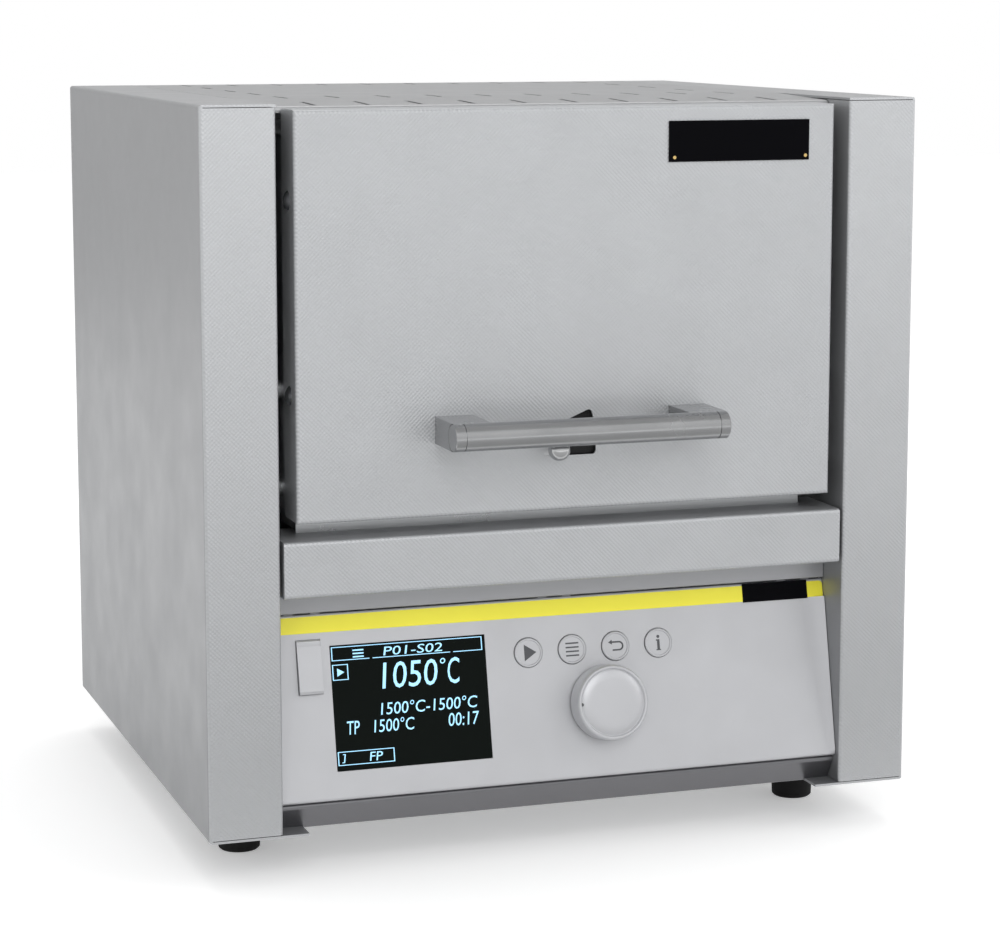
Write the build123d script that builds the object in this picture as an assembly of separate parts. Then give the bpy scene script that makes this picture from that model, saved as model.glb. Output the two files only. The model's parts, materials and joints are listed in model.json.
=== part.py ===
from build123d import *
import math
import os

# Benchtop muffle furnace with a parallel lift door, as separate pieces that come apart.
# Millimetres. X runs to the right across the front, Y runs back from the front plane of the
# housing, Z runs up from the surface that the feet stand on. The last step moves every piece so
# that the origin lies under the middle of the whole furnace.

# Housing
HOUSING_WIDTH = 385.0
HOUSING_DEPTH = 350.0
HOUSING_HEIGHT = 369.0
FOOT_HEIGHT = 25.0
SHEET = 1.2
BEND = 2.0
SEAM = 0.4
SEAT = 0.3

# Front columns and the lips of the side panels
COLUMN_WIDTH = 38.4
COLUMN_RETURN = 28.0
BOTTOM_LIP = 52.0
REAR_LIP = 15.0

# Console, fascia rail and the strip under the console
CONSOLE_FOOT = 16.0
CONSOLE_DEPTH = 72.0
FACE_FOOT_Y = 4.0
FACE_LENGTH = 95.3
FACE_TILT = 12.7
FACE_THICKNESS = 2.5
CONSOLE_WALL = 2.5
BAND_Y = 23.0
BAND_HEIGHT = 13.2
FASCIA_HEIGHT = 28.8
FASCIA_GAP = 1.8
FASCIA_DEPTH = 40.0
STRIP_BACK = 14.5

# Door
DOOR_SIDE_GAP = 8.5
DOOR_SILL_GAP = 8.8
DOOR_TOP_DROP = 3.0
DOOR_DEPTH = 24.0
PLUG_LENGTH = 12.5
PLUG_SLOPE = 7.0
PLUG_BORDER = 16.0
BOLT_Y = 12.5
BOLT_RADIUS = 5.0
BOLT_HEIGHT = 2.4
AIR_DROP = 16.5
AIR_BORE = 12.0
AIR_SLIDE_THICKNESS = 1.2
AIR_KNOB_RADIUS = 5.75
AIR_KNOB_X = -11.1
AIR_KNOB_Y = -12.0
AIR_STEM_RADIUS = 1.6

# Handle
HANDLE_LENGTH = 146.8
HANDLE_BAR_RADIUS = 7.0
HANDLE_REACH = 29.2
HANDLE_HEIGHT = 44.6
MOUNT_LENGTH = 20.0
GROOVE_INSET = 5.2

# Lift arms
PIVOT_RADIUS = 3.0
RUNNING = 0.05
OPEN_PIVOT = 0.5
ARM_THICKNESS = 3.0
ARM_WIDTH = 14.0
ARM_SPACING = 50.0
ARM_START = 70.0
LIFT_PIVOT_DROP = 44.0
CARRIER_PIVOT_RISE = 13.1
CARRIER_PIVOT_Y = 40.0
CARRIER_THICKNESS = 2.2
PIVOT_HEAD = 5.0

# Furnace body
CHAMBER_DEPTH = 140.0
HEATER_THICKNESS = 12.0
HEARTH_THICKNESS = 6.0
FLOOR_INSULATION = 35.4
ROOF_INSULATION = 57.3
WALL_INSULATION = 46.5
REAR_INSULATION = 60.0
CASING_SHEET = 1.0
CASING_MARGIN = 14.6
CASING_HEADROOM = 17.0
FRAME_GAP = 2.0
COLLAR_DEPTH = 10.8
EXHAUST_BORE = 18.0
EXHAUST_WALL = 3.0
OUTLET_REACH = 15.0
OUTLET_GAP = 3.0
OUTLET_SHEET = 1.5
OUTLET_FLANGE = 7.0
OUTLET_NECK = 1.0
OUTLET_SLEEVE = 8.0
SENSOR_INSET = 35.0
SENSOR_REACH = 22.0
SHEATH_RADIUS = 2.5
SENSOR_HEAD_RADIUS = 9.0
SENSOR_HEAD_LENGTH = 16.0
SENSOR_NECK = 6.0
WINDING_PITCH = 11.1
WINDING_RADIUS = 1.3
GROOVE_DEPTH = 3.0
GROOVE_END = 6.0
LEAD_REACH = 22.0
TERMINAL_WIDTH = 18.0
TERMINAL_DEPTH = 18.0
TERMINAL_END = 9.0

# Top cover
COVER_DIP = 2.0
COVER_SLOPE = 66.0
COVER_FRONT_DROP = 12.0
COVER_REAR_DROP = 14.0
SLOT_COLUMNS = 10
SLOT_ROWS = 6
SLOT_MARGIN_X = 28.1
SLOT_MARGIN_Y = 19.5
SLOT_LENGTH = 28.0
SLOT_WIDTH = 2.6

# Rear panel and base pan
VENT_ROWS = 5
VENT_PITCH = 12.0
VENT_WIDTH = 3.9
VENT_GAP = 33.6
VENT_MARGIN = 72.9
VENT_DROP = 60.0
VENT_RISE = 150.0
PAN_EDGE = 8.0
PAN_SLOT_LENGTH = 56.0
PAN_SLOT_PITCH_X = 72.8
PAN_SLOT_PITCH_Y = 14.0
PAN_SLOT_ROWS = 4
PAN_SLOT_BACK = 70.0

# Controls on the console face, placed from its middle and its foot
KEY_RADIUS = 7.6
KEY_TRAVEL = 1.0
KEY_PITCH = 24.35
KEY_FIRST_X = -16.9
KEY_HEIGHT = 67.2
KEY_NAMES = ("play_key", "menu_key", "return_key", "info_key")
KNOB_X = 23.9
KNOB_HEIGHT = 38.2
KNOB_RADIUS = 19.75
KNOB_REACH = 13.0
KNOB_TRAVEL = 0.6
SHAFT_RADIUS = 3.0
BUSH_RADIUS = 4.4
NUT_RADIUS = 6.4
ENCODER_SIZE = 14.0
LCD_MARGIN = 30.0
LCD_KEY_GAP = 15.7
LCD_FOOT = 14.2
LCD_HEIGHT = 64.3
LENS_DEPTH = 1.7
LEDGE = 2.0
FLAP_MARGIN = 18.8
FLAP_TOP = 82.0
FLAP_LENGTH = 27.5
FLAP_WIDTH = 12.4
FLAP_HINGE_DROP = 1.1
PORT_WIDTH = 5.8
PORT_LENGTH = 13.6
PORT_WALL = 0.4
BOARD_GAP = 14.4
BOARD_THICKNESS = 1.6
BOARD_MARGIN = 11.8
BOARD_BORDER = 15.85
BOARD_FOOT = 8.0
BOARD_HEAD = 7.3
SPACER_RADIUS = 3.0
SPACER_INSET = 6.0
KEY_SWITCH_SIZE = 6.0
KEY_SWITCH_HEIGHT = 2.2
PROCESSOR_SIZE = 22.0
PROCESSOR_HEIGHT = 3.0
TRANSFORMER_WIDTH = 14.0
TRANSFORMER_LENGTH = 30.0
TRANSFORMER_HEIGHT = 8.0
CONNECTOR_LENGTH = 40.0
CONNECTOR_WIDTH = 10.0
CONNECTOR_HEIGHT = 11.0
STRIPE_HEIGHT = 9.8
CLIP_WIDTH = 4.8
CLIP_FIRST = 6.8
CLIP_INSET = 9.8
CLIP_PITCH = 14.0

# Rear fittings, measured from the foot of the housing
FITTING_HEIGHT = 40.0
INLET_INSET = 62.5
INLET_WIDTH = 28.0
INLET_HEIGHT = 21.0
INLET_DEPTH = 22.0
INLET_FLANGE_WIDTH = 50.0
INLET_FLANGE_HEIGHT = 24.0
INLET_FLANGE_DEPTH = 2.5
SOCKET_WIDTH = 24.5
SOCKET_HEIGHT = 17.0
SOCKET_DEPTH = 16.0
CONTACT_PITCH = 7.0
CONTACT_WIDTH = 2.0
CONTACT_HEIGHT = 4.0
INLET_SCREW_PITCH = 40.0
POST_WIDTH = 30.0
POST_DEPTH = 18.0
POST_INSET = 14.0
RELAY_INSET = 112.5
RELAY_SETBACK = 185.0
RELAY_LENGTH = 58.0
RELAY_WIDTH = 44.0
RELAY_HEIGHT = 28.0
RELAY_RECESS_LENGTH = 34.0
RELAY_RECESS_WIDTH = 10.5
RELAY_RECESS_DEPTH = 12.0
TERMINAL_SCREW_RADIUS = 4.0
TERMINAL_SCREW_PITCH = 20.0
SWITCH_PITCH = 48.0
SWITCH_WIDTH = 22.0
SWITCH_HEIGHT = 28.0
SWITCH_DEPTH = 20.0
SWITCH_RIM = 3.0
SWITCH_RIM_DEPTH = 2.0
SWITCH_BAY_DEPTH = 12.0
SCREW_RADIUS = 3.4
SCREW_HEIGHT = 2.0
SCREW_INSET = 24.0
ROCKER_TILT = 9.0
ROCKER_RADIUS = 11.2
ROCKER_AXLE = 1.5
SWITCH_BAY_HALF = 9.0
FOOT_RADIUS = 12.0
FOOT_INSET = 32.5
FOOT_FRONT = 73.0

# Places that follow from the sizes above
BASE = FOOT_HEIGHT
TOP = BASE + HOUSING_HEIGHT
HALF = HOUSING_WIDTH / 2
BAY_HALF = HALF - COLUMN_WIDTH
DOOR_HALF = BAY_HALF - DOOR_SIDE_GAP
FACE_SIN = math.sin(math.radians(FACE_TILT))
FACE_COS = math.cos(math.radians(FACE_TILT))
FACE_FOOT_Z = BASE + CONSOLE_FOOT
FACE_HALF = BAY_HALF - SEAT
LCD_LEFT = LCD_MARGIN - FACE_HALF
LCD_RIGHT = KEY_FIRST_X - KEY_RADIUS - LCD_KEY_GAP
LCD_WIDTH = LCD_RIGHT - LCD_LEFT
FLAP_X = FLAP_MARGIN - FACE_HALF
BOARD_LEFT = BOARD_MARGIN - FACE_HALF
BOARD_RIGHT = KEY_FIRST_X + (len(KEY_NAMES) - 1) * KEY_PITCH + BOARD_BORDER
BOARD_TOP = FACE_LENGTH - BOARD_HEAD
INLET_X = HALF - INLET_INSET
SWITCH_X = INLET_X - SWITCH_PITCH
RELAY_X = RELAY_INSET - HALF
RELAY_Y = HOUSING_DEPTH - RELAY_SETBACK
FACE_TOP_Z = FACE_FOOT_Z + FACE_LENGTH * FACE_COS
BAND_LOW = FACE_TOP_Z + SHEET
CONSOLE_TOP = FACE_TOP_Z + BAND_HEIGHT
FASCIA_LOW = CONSOLE_TOP + SEAT
FASCIA_TOP = FASCIA_LOW + FASCIA_HEIGHT
DOOR_LOW = FASCIA_TOP + DOOR_SILL_GAP
DOOR_TOP = TOP - DOOR_TOP_DROP
CASING_HALF = BAY_HALF - CASING_MARGIN
CASING_LOW = FASCIA_TOP
CASING_TOP = TOP - CASING_HEADROOM
FRAME_FRONT = DOOR_DEPTH + FRAME_GAP
FRAME_BACK = FRAME_FRONT + SHEET
CHAMBER_FRONT = FRAME_BACK + COLLAR_DEPTH
CHAMBER_BACK = CHAMBER_FRONT + CHAMBER_DEPTH
CASING_BACK = CHAMBER_BACK + REAR_INSULATION + CASING_SHEET
HEARTH_LOW = CASING_LOW + CASING_SHEET + FLOOR_INSULATION
CHAMBER_LOW = HEARTH_LOW + HEARTH_THICKNESS
CHAMBER_TOP = CASING_TOP - CASING_SHEET - ROOF_INSULATION
CHAMBER_HEIGHT = CHAMBER_TOP - CHAMBER_LOW
CHAMBER_HALF = CASING_HALF - CASING_SHEET - WALL_INSULATION - HEATER_THICKNESS
WINDINGS = round(CHAMBER_HEIGHT / WINDING_PITCH) - 1
THERMOCOUPLE_X = CHAMBER_HALF - SENSOR_INSET
MOUTH_Z = CHAMBER_LOW + CHAMBER_HEIGHT / 2
HEATER_OUT = CHAMBER_HALF + HEATER_THICKNESS
MOUTH_HALF_WIDTH = CHAMBER_HALF + PLUG_BORDER
MOUTH_HALF_HEIGHT = CHAMBER_HEIGHT / 2 + PLUG_BORDER
HANDLE_Z = DOOR_LOW + HANDLE_HEIGHT
HANDLE_HALF = HANDLE_LENGTH / 2
AIR_LOW = HANDLE_Z - AIR_DROP
AIR_CHANNEL_Z = AIR_LOW + 9.5
AIR_SLIDE_Y = SHEET + 0.2
AIR_KNOB_Z = AIR_LOW + 5.1
COVER_FRONT = FRAME_FRONT
SLOT_PITCH_X = 2 * (BAY_HALF - SLOT_MARGIN_X) / (SLOT_COLUMNS - 1)
SLOT_PITCH_Y = (HOUSING_DEPTH - COVER_FRONT - 2 * SLOT_MARGIN_Y) / (SLOT_ROWS - 1)
EXHAUST_Z = CHAMBER_TOP - EXHAUST_BORE
EXHAUST_RADIUS = EXHAUST_BORE / 2 + EXHAUST_WALL
OUTLET_RADIUS = EXHAUST_RADIUS + OUTLET_GAP
OUTLET_NECK_RADIUS = OUTLET_RADIUS - SEAM
FITTING_Z = BASE + FITTING_HEIGHT
PAN_LOW = BASE + SHEET
PAN_TOP = PAN_LOW + SHEET
REAR_FACE = HOUSING_DEPTH - SHEET
PAN_HALF = HALF - BEND
VENT_LENGTH = PAN_HALF - VENT_GAP - VENT_MARGIN
ROCKER_Y = REAR_FACE - SWITCH_RIM_DEPTH

# Pivots of the lift: the frame pivots stay, the carrier pivots move with the door
LIFT_Z = TOP - LIFT_PIVOT_DROP
LOWER_CARRIER_Z = DOOR_LOW + CARRIER_PIVOT_RISE
UPPER_CARRIER_Z = LOWER_CARRIER_Z + ARM_SPACING
ARM_LENGTH = (LIFT_Z - UPPER_CARRIER_Z) / math.sin(math.radians(ARM_START))
LIFT_Y = CARRIER_PIVOT_Y + ARM_LENGTH * math.cos(math.radians(ARM_START))
CARRIER_OUT = DOOR_HALF - SHEET - SEAT
CARRIER_IN = CARRIER_OUT - CARRIER_THICKNESS
ARM_IN = DOOR_HALF + BEND + 0.5
ARM_OUT = ARM_IN + ARM_THICKNESS
FRAME_OUT = BAY_HALF + SHEET

# The furnace is centred on its whole depth, from the handle to the exhaust outlet
REACH_FRONT = HANDLE_REACH + HANDLE_BAR_RADIUS
REACH_BACK = HOUSING_DEPTH + OUTLET_REACH
SHIFT_Y = -(REACH_BACK - REACH_FRONT) / 2


def block(x0, x1, y0, y1, z0, z1):
    """A square-edged block between two corners."""
    centre = Pos((x0 + x1) / 2, (y0 + y1) / 2, (z0 + z1) / 2)
    return centre * Box(abs(x1 - x0), abs(y1 - y0), abs(z1 - z0))


def along_x(face, x0, x1):
    """A face drawn in Y and Z, run along X."""
    return Pos(x0, 0, 0) * extrude(Plane.YZ * face, x1 - x0)


def along_y(face, y0, y1):
    """A face drawn in X and Z, run along Y."""
    return Pos(0, y0, 0) * extrude(Plane.XZ * face, y0 - y1)


def along_z(face, z0, z1):
    """A face drawn in X and Y, run along Z."""
    return Pos(0, 0, z0) * extrude(face, z1 - z0)


def rod_x(x0, x1, y, z, radius):
    """A round rod along X."""
    return Pos((x0 + x1) / 2, y, z) * Rot(0, 90, 0) * Cylinder(radius, abs(x1 - x0))


def rod_y(y0, y1, x, z, radius):
    """A round rod along Y."""
    return Pos(x, (y0 + y1) / 2, z) * Rot(90, 0, 0) * Cylinder(radius, abs(y1 - y0))


def rod_z(z0, z1, x, y, radius):
    """A round rod along Z."""
    return Pos(x, y, (z0 + z1) / 2) * Cylinder(radius, abs(z1 - z0))


def turned(points):
    """A solid turned about Z from half of its section, given as radius and height."""
    return revolve(Plane.XZ * make_face(Polyline(*points, close=True)), Axis.Z)


def dome_head(radius, height):
    """Domed bolt head on the level plane, cut from a sphere."""
    ball = (radius ** 2 + height ** 2) / (2 * height)
    head = Pos(0, 0, height - ball) * Sphere(ball)
    return head - block(-ball, ball, -ball, ball, -2 * ball, 0)


def outline(points):
    """A face with straight edges."""
    return make_face(Polyline(*points, close=True))


def folded(points, radius=BEND, thickness=SHEET):
    """The section of a folded sheet: its outer line, with the metal to the left of it."""
    line = FilletPolyline(*points, radius=radius)
    return make_face(offset(line, thickness, side=Side.LEFT))


def mirrored(piece):
    """The same piece on the other side of the furnace."""
    return mirror(piece, about=Plane.YZ)


# Housing


def side_panel():
    """Left side panel: one sheet folded round to the front column, with lips at three edges."""
    panel = block(-HALF, -HALF + BOTTOM_LIP, 0, HOUSING_DEPTH, BASE, TOP)
    panel = fillet(panel.faces().sort_by(Axis.X)[0].edges(), BEND)
    inner = block(-HALF + SHEET, HALF, SHEET, REAR_FACE, BASE + SHEET, TOP - SHEET)
    panel -= fillet(inner.faces().sort_by(Axis.X)[0].edges(), BEND - SHEET)
    corner = -BAY_HALF - 2 * BEND
    panel -= block(-BAY_HALF, 0, -1, HOUSING_DEPTH + 1, TOP - SHEET, TOP + 1)
    panel -= block(corner, 0, -1, BEND, BASE + SHEET, TOP - SHEET)
    panel -= block(-HALF + REAR_LIP, 0, REAR_FACE - BEND, HOUSING_DEPTH + 1, BASE + SHEET, TOP - SHEET)
    seam_end = -HALF + BOTTOM_LIP
    for low in (TOP - SHEET - SEAM, BASE + SHEET):
        panel -= block(-HALF + BEND, seam_end, -1, BEND, low, low + SEAM)
        panel -= block(-HALF + BEND, seam_end, REAR_FACE - BEND, HOUSING_DEPTH + 1, low, low + SEAM)
    column = folded([(corner, 0), (-BAY_HALF, 0), (-BAY_HALF, COLUMN_RETURN)])
    return panel + along_z(column, BASE + SHEET + SEAM, TOP - SHEET - SEAM)


def slot_places():
    """Middles of the cooling slots: full rows at the front, second and back, else the end columns."""
    middle = (COVER_FRONT + HOUSING_DEPTH) / 2
    places = []
    for row in range(SLOT_ROWS):
        y = middle + (row - (SLOT_ROWS - 1) / 2) * SLOT_PITCH_Y
        full = row in (0, 1, SLOT_ROWS - 1)
        for column in range(SLOT_COLUMNS):
            x = (column - (SLOT_COLUMNS - 1) / 2) * SLOT_PITCH_X
            if full or column in (0, SLOT_COLUMNS - 1):
                places.append((x, y))
    return places


def top_cover():
    """Slotted cover between the two top lips, dipping a little towards its front edge."""
    half = BAY_HALF - SEAM
    slope_end = COVER_FRONT + COVER_SLOPE
    section = folded([
        (HOUSING_DEPTH, TOP - COVER_REAR_DROP),
        (HOUSING_DEPTH, TOP),
        (slope_end, TOP),
        (COVER_FRONT, TOP - COVER_DIP),
        (COVER_FRONT, TOP - COVER_DIP - COVER_FRONT_DROP),
    ], radius=[BEND, 20 * BEND, BEND])
    cover = along_x(section, -half, half)
    front_flange_top = TOP - COVER_DIP - SHEET - BEND
    for side in (-1, 1):
        tuck_in = side * (half - 2 * SHEET)
        tuck_out = side * (half + COLUMN_WIDTH / 4)
        tuck_back = REAR_FACE - SHEET - SEAT
        cover += block(tuck_in, tuck_out, slope_end, tuck_back, TOP - 2 * SHEET, TOP - SHEET)
        cover -= block(side * CASING_HALF, side * HALF, 0, slope_end / 2, BASE, front_flange_top)
    slot = Rot(0, 0, 90) * SlotOverall(SLOT_LENGTH, SLOT_WIDTH)
    cutter = extrude(slot, 4 * COVER_DIP)
    return cover - [Pos(x, y, TOP - 3 * COVER_DIP) * cutter for x, y in slot_places()]


def rear_panel():
    """Rear sheet behind the rear lips, with louvre slots and the holes for its fittings."""
    half = PAN_HALF
    front = REAR_FACE - SHEET
    section = folded([
        (front - COVER_REAR_DROP, BASE + SHEET),
        (REAR_FACE, BASE + SHEET),
        (REAR_FACE, TOP - 2 * SHEET - SEAT),
        (front - COVER_REAR_DROP, TOP - 2 * SHEET - SEAT),
    ])
    panel = along_x(section, -half + BOTTOM_LIP, half - BOTTOM_LIP)
    panel += block(-half, half, front, REAR_FACE, BASE + SHEET, TOP - 2 * SHEET - SEAT)
    vent = Plane.XZ * SlotOverall(VENT_LENGTH, VENT_WIDTH)
    cutter = extrude(vent, -4 * SHEET)
    middle = VENT_GAP + VENT_LENGTH / 2
    vents = []
    for row in range(VENT_ROWS):
        for side in (-1, 1):
            for highest in (TOP - VENT_DROP, BASE + VENT_RISE):
                vents.append(Pos(side * middle, front - SHEET, highest - row * VENT_PITCH) * cutter)
    panel -= vents
    panel -= rod_y(front - SHEET, HOUSING_DEPTH, 0, EXHAUST_Z, OUTLET_NECK_RADIUS + SEAT)
    panel -= block(*inlet_span(SEAT), front - 1, HOUSING_DEPTH, *inlet_rise(SEAT))
    panel -= block(*switch_span(SEAT), front - 1, HOUSING_DEPTH, *switch_rise(SEAT))
    return panel


def base_pan():
    """Floor of the housing: a pan with turned-up edges and cooling slots."""
    half = PAN_HALF
    front = COLUMN_RETURN + 1
    back = REAR_FACE - SHEET - COVER_REAR_DROP - SEAT - 1
    edge = PAN_TOP + PAN_EDGE
    section = folded([
        (front, edge),
        (front, PAN_LOW),
        (back, PAN_LOW),
        (back, edge),
    ])
    pan = along_x(section, -half, half)
    for side in (-1, 1):
        pan += block(side * half, side * (half - SHEET), front + BEND, back - BEND, PAN_LOW, edge)
    cutter = extrude(SlotOverall(PAN_SLOT_LENGTH, VENT_WIDTH), 4 * SHEET)
    slots = []
    for row in range(PAN_SLOT_ROWS):
        y = back - PAN_SLOT_BACK - row * PAN_SLOT_PITCH_Y
        for column in (-1, 0, 1):
            slots.append(Pos(column * PAN_SLOT_PITCH_X, y, PAN_LOW - SHEET) * cutter)
    return pan - slots


def feet():
    """Four rubber feet, each a tapered boss with a recess for its bolt."""
    profile = [
        (0, 6),
        (3.2, 6),
        (3.2, 0),
        (FOOT_RADIUS - 2, 0),
        (FOOT_RADIUS - 1, 1),
        (FOOT_RADIUS, FOOT_HEIGHT - 3),
        (FOOT_RADIUS, FOOT_HEIGHT - 0.6),
        (FOOT_RADIUS - 0.6, FOOT_HEIGHT),
        (0, FOOT_HEIGHT),
    ]
    foot = turned(profile)
    group = []
    for side in (-1, 1):
        for y in (FOOT_FRONT, HOUSING_DEPTH - FOOT_FRONT):
            group.append(Pos(side * (HALF - FOOT_INSET), y, 0) * foot)
    return Part() + group


def front_fascia():
    """Textured rail between the columns, folded back at the top and the bottom."""
    half = BAY_HALF - FASCIA_GAP
    section = folded([
        (FASCIA_DEPTH, FASCIA_LOW),
        (0, FASCIA_LOW),
        (0, FASCIA_TOP),
        (FASCIA_DEPTH, FASCIA_TOP),
    ][::-1])
    rail = along_x(section, -half, half)
    for side in (-1, 1):
        rail += block(side * half, side * (half - SHEET), BEND, COLUMN_RETURN, FASCIA_LOW + BEND / 2,
                      FASCIA_TOP - BEND / 2)
    return rail


def lower_strip():
    """Dark brushed strip under the console, sloping back to a lip under the base pan."""
    strip_top = FACE_FOOT_Z - SHEET
    flange = COLUMN_RETURN + STRIP_BACK
    section = folded([
        (FACE_FOOT_Y + 20, strip_top),
        (FACE_FOOT_Y + 1.5, strip_top),
        (STRIP_BACK, BASE),
        (flange, BASE),
    ])
    strip = along_x(section, -FACE_HALF, FACE_HALF)
    lip_half = HALF - BOTTOM_LIP - SEAT
    for side in (-1, 1):
        strip -= block(side * lip_half, side * HALF, STRIP_BACK - SHEET, flange + 1, BASE - 1, BASE + SHEET)
    return strip


# Console


def on_face(piece):
    """Moves a piece drawn flat, with Y up the face and Z out of it, onto the sloping console face."""
    plane = Plane((0, FACE_FOOT_Y, FACE_FOOT_Z), x_dir=(1, 0, 0), z_dir=(0, -FACE_COS, FACE_SIN))
    return plane.location * piece


def face_y(height, out=0.0):
    """How far back a point of the face lies, from its height up the face."""
    return FACE_FOOT_Y + height * FACE_SIN - out * FACE_COS


def face_z(height, out=0.0):
    """How high a point of the face lies, from its height up the face."""
    return FACE_FOOT_Z + height * FACE_COS + out * FACE_SIN


def key_places():
    """Middles of the four round keys."""
    return [KEY_FIRST_X + index * KEY_PITCH for index in range(len(KEY_NAMES))]


def console_housing():
    """Hollow housing behind the face, with the upright band above it."""
    floor = FACE_FOOT_Z - SHEET + SEAT
    back = -FACE_THICKNESS
    start = (floor - FACE_FOOT_Z - back * FACE_SIN) / FACE_COS
    section = outline([
        (face_y(start, back), floor),
        (face_y(FACE_LENGTH, back), face_z(FACE_LENGTH, back)),
        (BAND_Y, BAND_LOW),
        (BAND_Y, CONSOLE_TOP),
        (CONSOLE_DEPTH, CONSOLE_TOP),
        (CONSOLE_DEPTH, floor),
    ])
    housing = along_x(section, -FACE_HALF, FACE_HALF)
    inner = FACE_HALF - CONSOLE_WALL
    ceiling = CONSOLE_TOP - CONSOLE_WALL
    shoulder = face_z(FACE_LENGTH, back) - CONSOLE_WALL
    housing -= block(-inner, inner, -CONSOLE_WALL, CONSOLE_DEPTH + 1, floor + CONSOLE_WALL, shoulder)
    housing -= block(-inner, inner, BAND_Y + 2 * CONSOLE_WALL, CONSOLE_DEPTH + 1, shoulder - 1, ceiling)
    last = FACE_HALF - CLIP_INSET
    for x in (CLIP_FIRST, last - CLIP_PITCH, last):
        clip = block(x - CLIP_WIDTH / 2, x + CLIP_WIDTH / 2, FACE_LENGTH + RUNNING, FACE_LENGTH + 2, back,
                     back + 1.4)
        housing += [on_face(clip), on_face(mirrored(clip))]
    return housing


def face_roll(height, width, rise):
    """Section of the face's rolled margin at one height: a low arc that lifts towards the column."""
    arc = TangentArc((FACE_HALF - width, 0), (FACE_HALF, rise), tangent=(1, 0))
    side = Line((FACE_HALF, rise), (FACE_HALF, 0))
    foot = Line((FACE_HALF, 0), (FACE_HALF - width, 0))
    plane = Plane((0, height, 0), x_dir=(1, 0, 0), z_dir=(0, -1, 0))
    return plane * make_face([arc, side, foot])


def spacer_places():
    """Where the face's posts meet the circuit board: both ends of it and beside the display."""
    low = BOARD_FOOT + SPACER_INSET
    high = BOARD_TOP - SPACER_INSET
    right = BOARD_RIGHT - SPACER_INSET
    beside = LCD_RIGHT + SPACER_INSET
    return [(right, low), (right, high), (beside, low), (beside, high), (BOARD_LEFT + SPACER_INSET, low)]


def console_face():
    """Moulded face with its rolled margins, window, key holes, knob hole and flap recess."""
    face = block(-FACE_HALF, FACE_HALF, 0, FACE_LENGTH, -FACE_THICKNESS, 0)
    front_edges = face.edges().filter_by(Axis.X).group_by(Axis.Z)[-1]
    face = fillet(front_edges, 1.2)
    roll = loft([face_roll(2, 4.0, 0.5), face_roll(FACE_LENGTH - STRIPE_HEIGHT, 12.0, 1.9)])
    face += [roll, mirrored(roll)]
    window = [LCD_LEFT, LCD_LEFT + LCD_WIDTH, LCD_FOOT, LCD_FOOT + LCD_HEIGHT]
    behind = -2 * FACE_THICKNESS
    face -= block(*window, -LENS_DEPTH, 1)
    face -= block(window[0] + LEDGE, window[1] - LEDGE, window[2] + LEDGE, window[3] - LEDGE, behind, 0)
    for x in key_places():
        face -= rod_z(behind, 1, x, KEY_HEIGHT, KEY_RADIUS + SEAM)
    face -= rod_z(behind, 1, KNOB_X, KNOB_HEIGHT, BUSH_RADIUS + SEAT)
    recess_half = FLAP_WIDTH / 2 + SEAM
    recess_low = FLAP_TOP - FLAP_LENGTH - SEAM
    face -= block(FLAP_X - recess_half, FLAP_X + recess_half, recess_low, FLAP_TOP + SEAM, -1.2, 1)
    face -= block(*port_span(SEAT), *port_rise(SEAT), behind, 0)
    for x, y in spacer_places():
        face += rod_z(-BOARD_GAP, -FACE_THICKNESS, x, y, SPACER_RADIUS)
    return on_face(face)


def accent_stripe():
    """Thin coloured strip across the top of the face."""
    low = FACE_LENGTH - STRIPE_HEIGHT
    strip = block(-FACE_HALF, FACE_HALF, low, FACE_LENGTH - 1.3, 0, 0.3)
    corners = strip.edges().filter_by(Axis.Z).group_by(Axis.Y)[-1]
    return on_face(fillet(corners, 2.0))


def display_lens():
    """Dark window of the display, set flush in the face."""
    gap = SEAT / 2
    lens = block(LCD_LEFT + gap, LCD_RIGHT - gap, LCD_FOOT + gap, LCD_FOOT + LCD_HEIGHT - gap,
                 -LENS_DEPTH, -0.1)
    return on_face(fillet(lens.edges().filter_by(Axis.Z), 2 * SEAT))


def display_module():
    """Display behind the window, in its own frame."""
    top = LCD_FOOT + LCD_HEIGHT
    back = -BOARD_GAP + 2 * LEDGE
    rim = LEDGE / 2
    body = block(LCD_LEFT - rim, LCD_RIGHT + rim, LCD_FOOT - LEDGE, top + LEDGE, back,
                 -FACE_THICKNESS - SEAT)
    body = chamfer(body.edges().filter_by(Axis.Z), LEDGE)
    leg = 4 * LEDGE
    for x in (LCD_LEFT + leg / 2, LCD_RIGHT - leg / 2):
        body += block(x - SPACER_RADIUS, x + SPACER_RADIUS, LCD_FOOT + leg, top - leg, -BOARD_GAP + SEAT,
                      back)
    return on_face(body)


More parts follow.
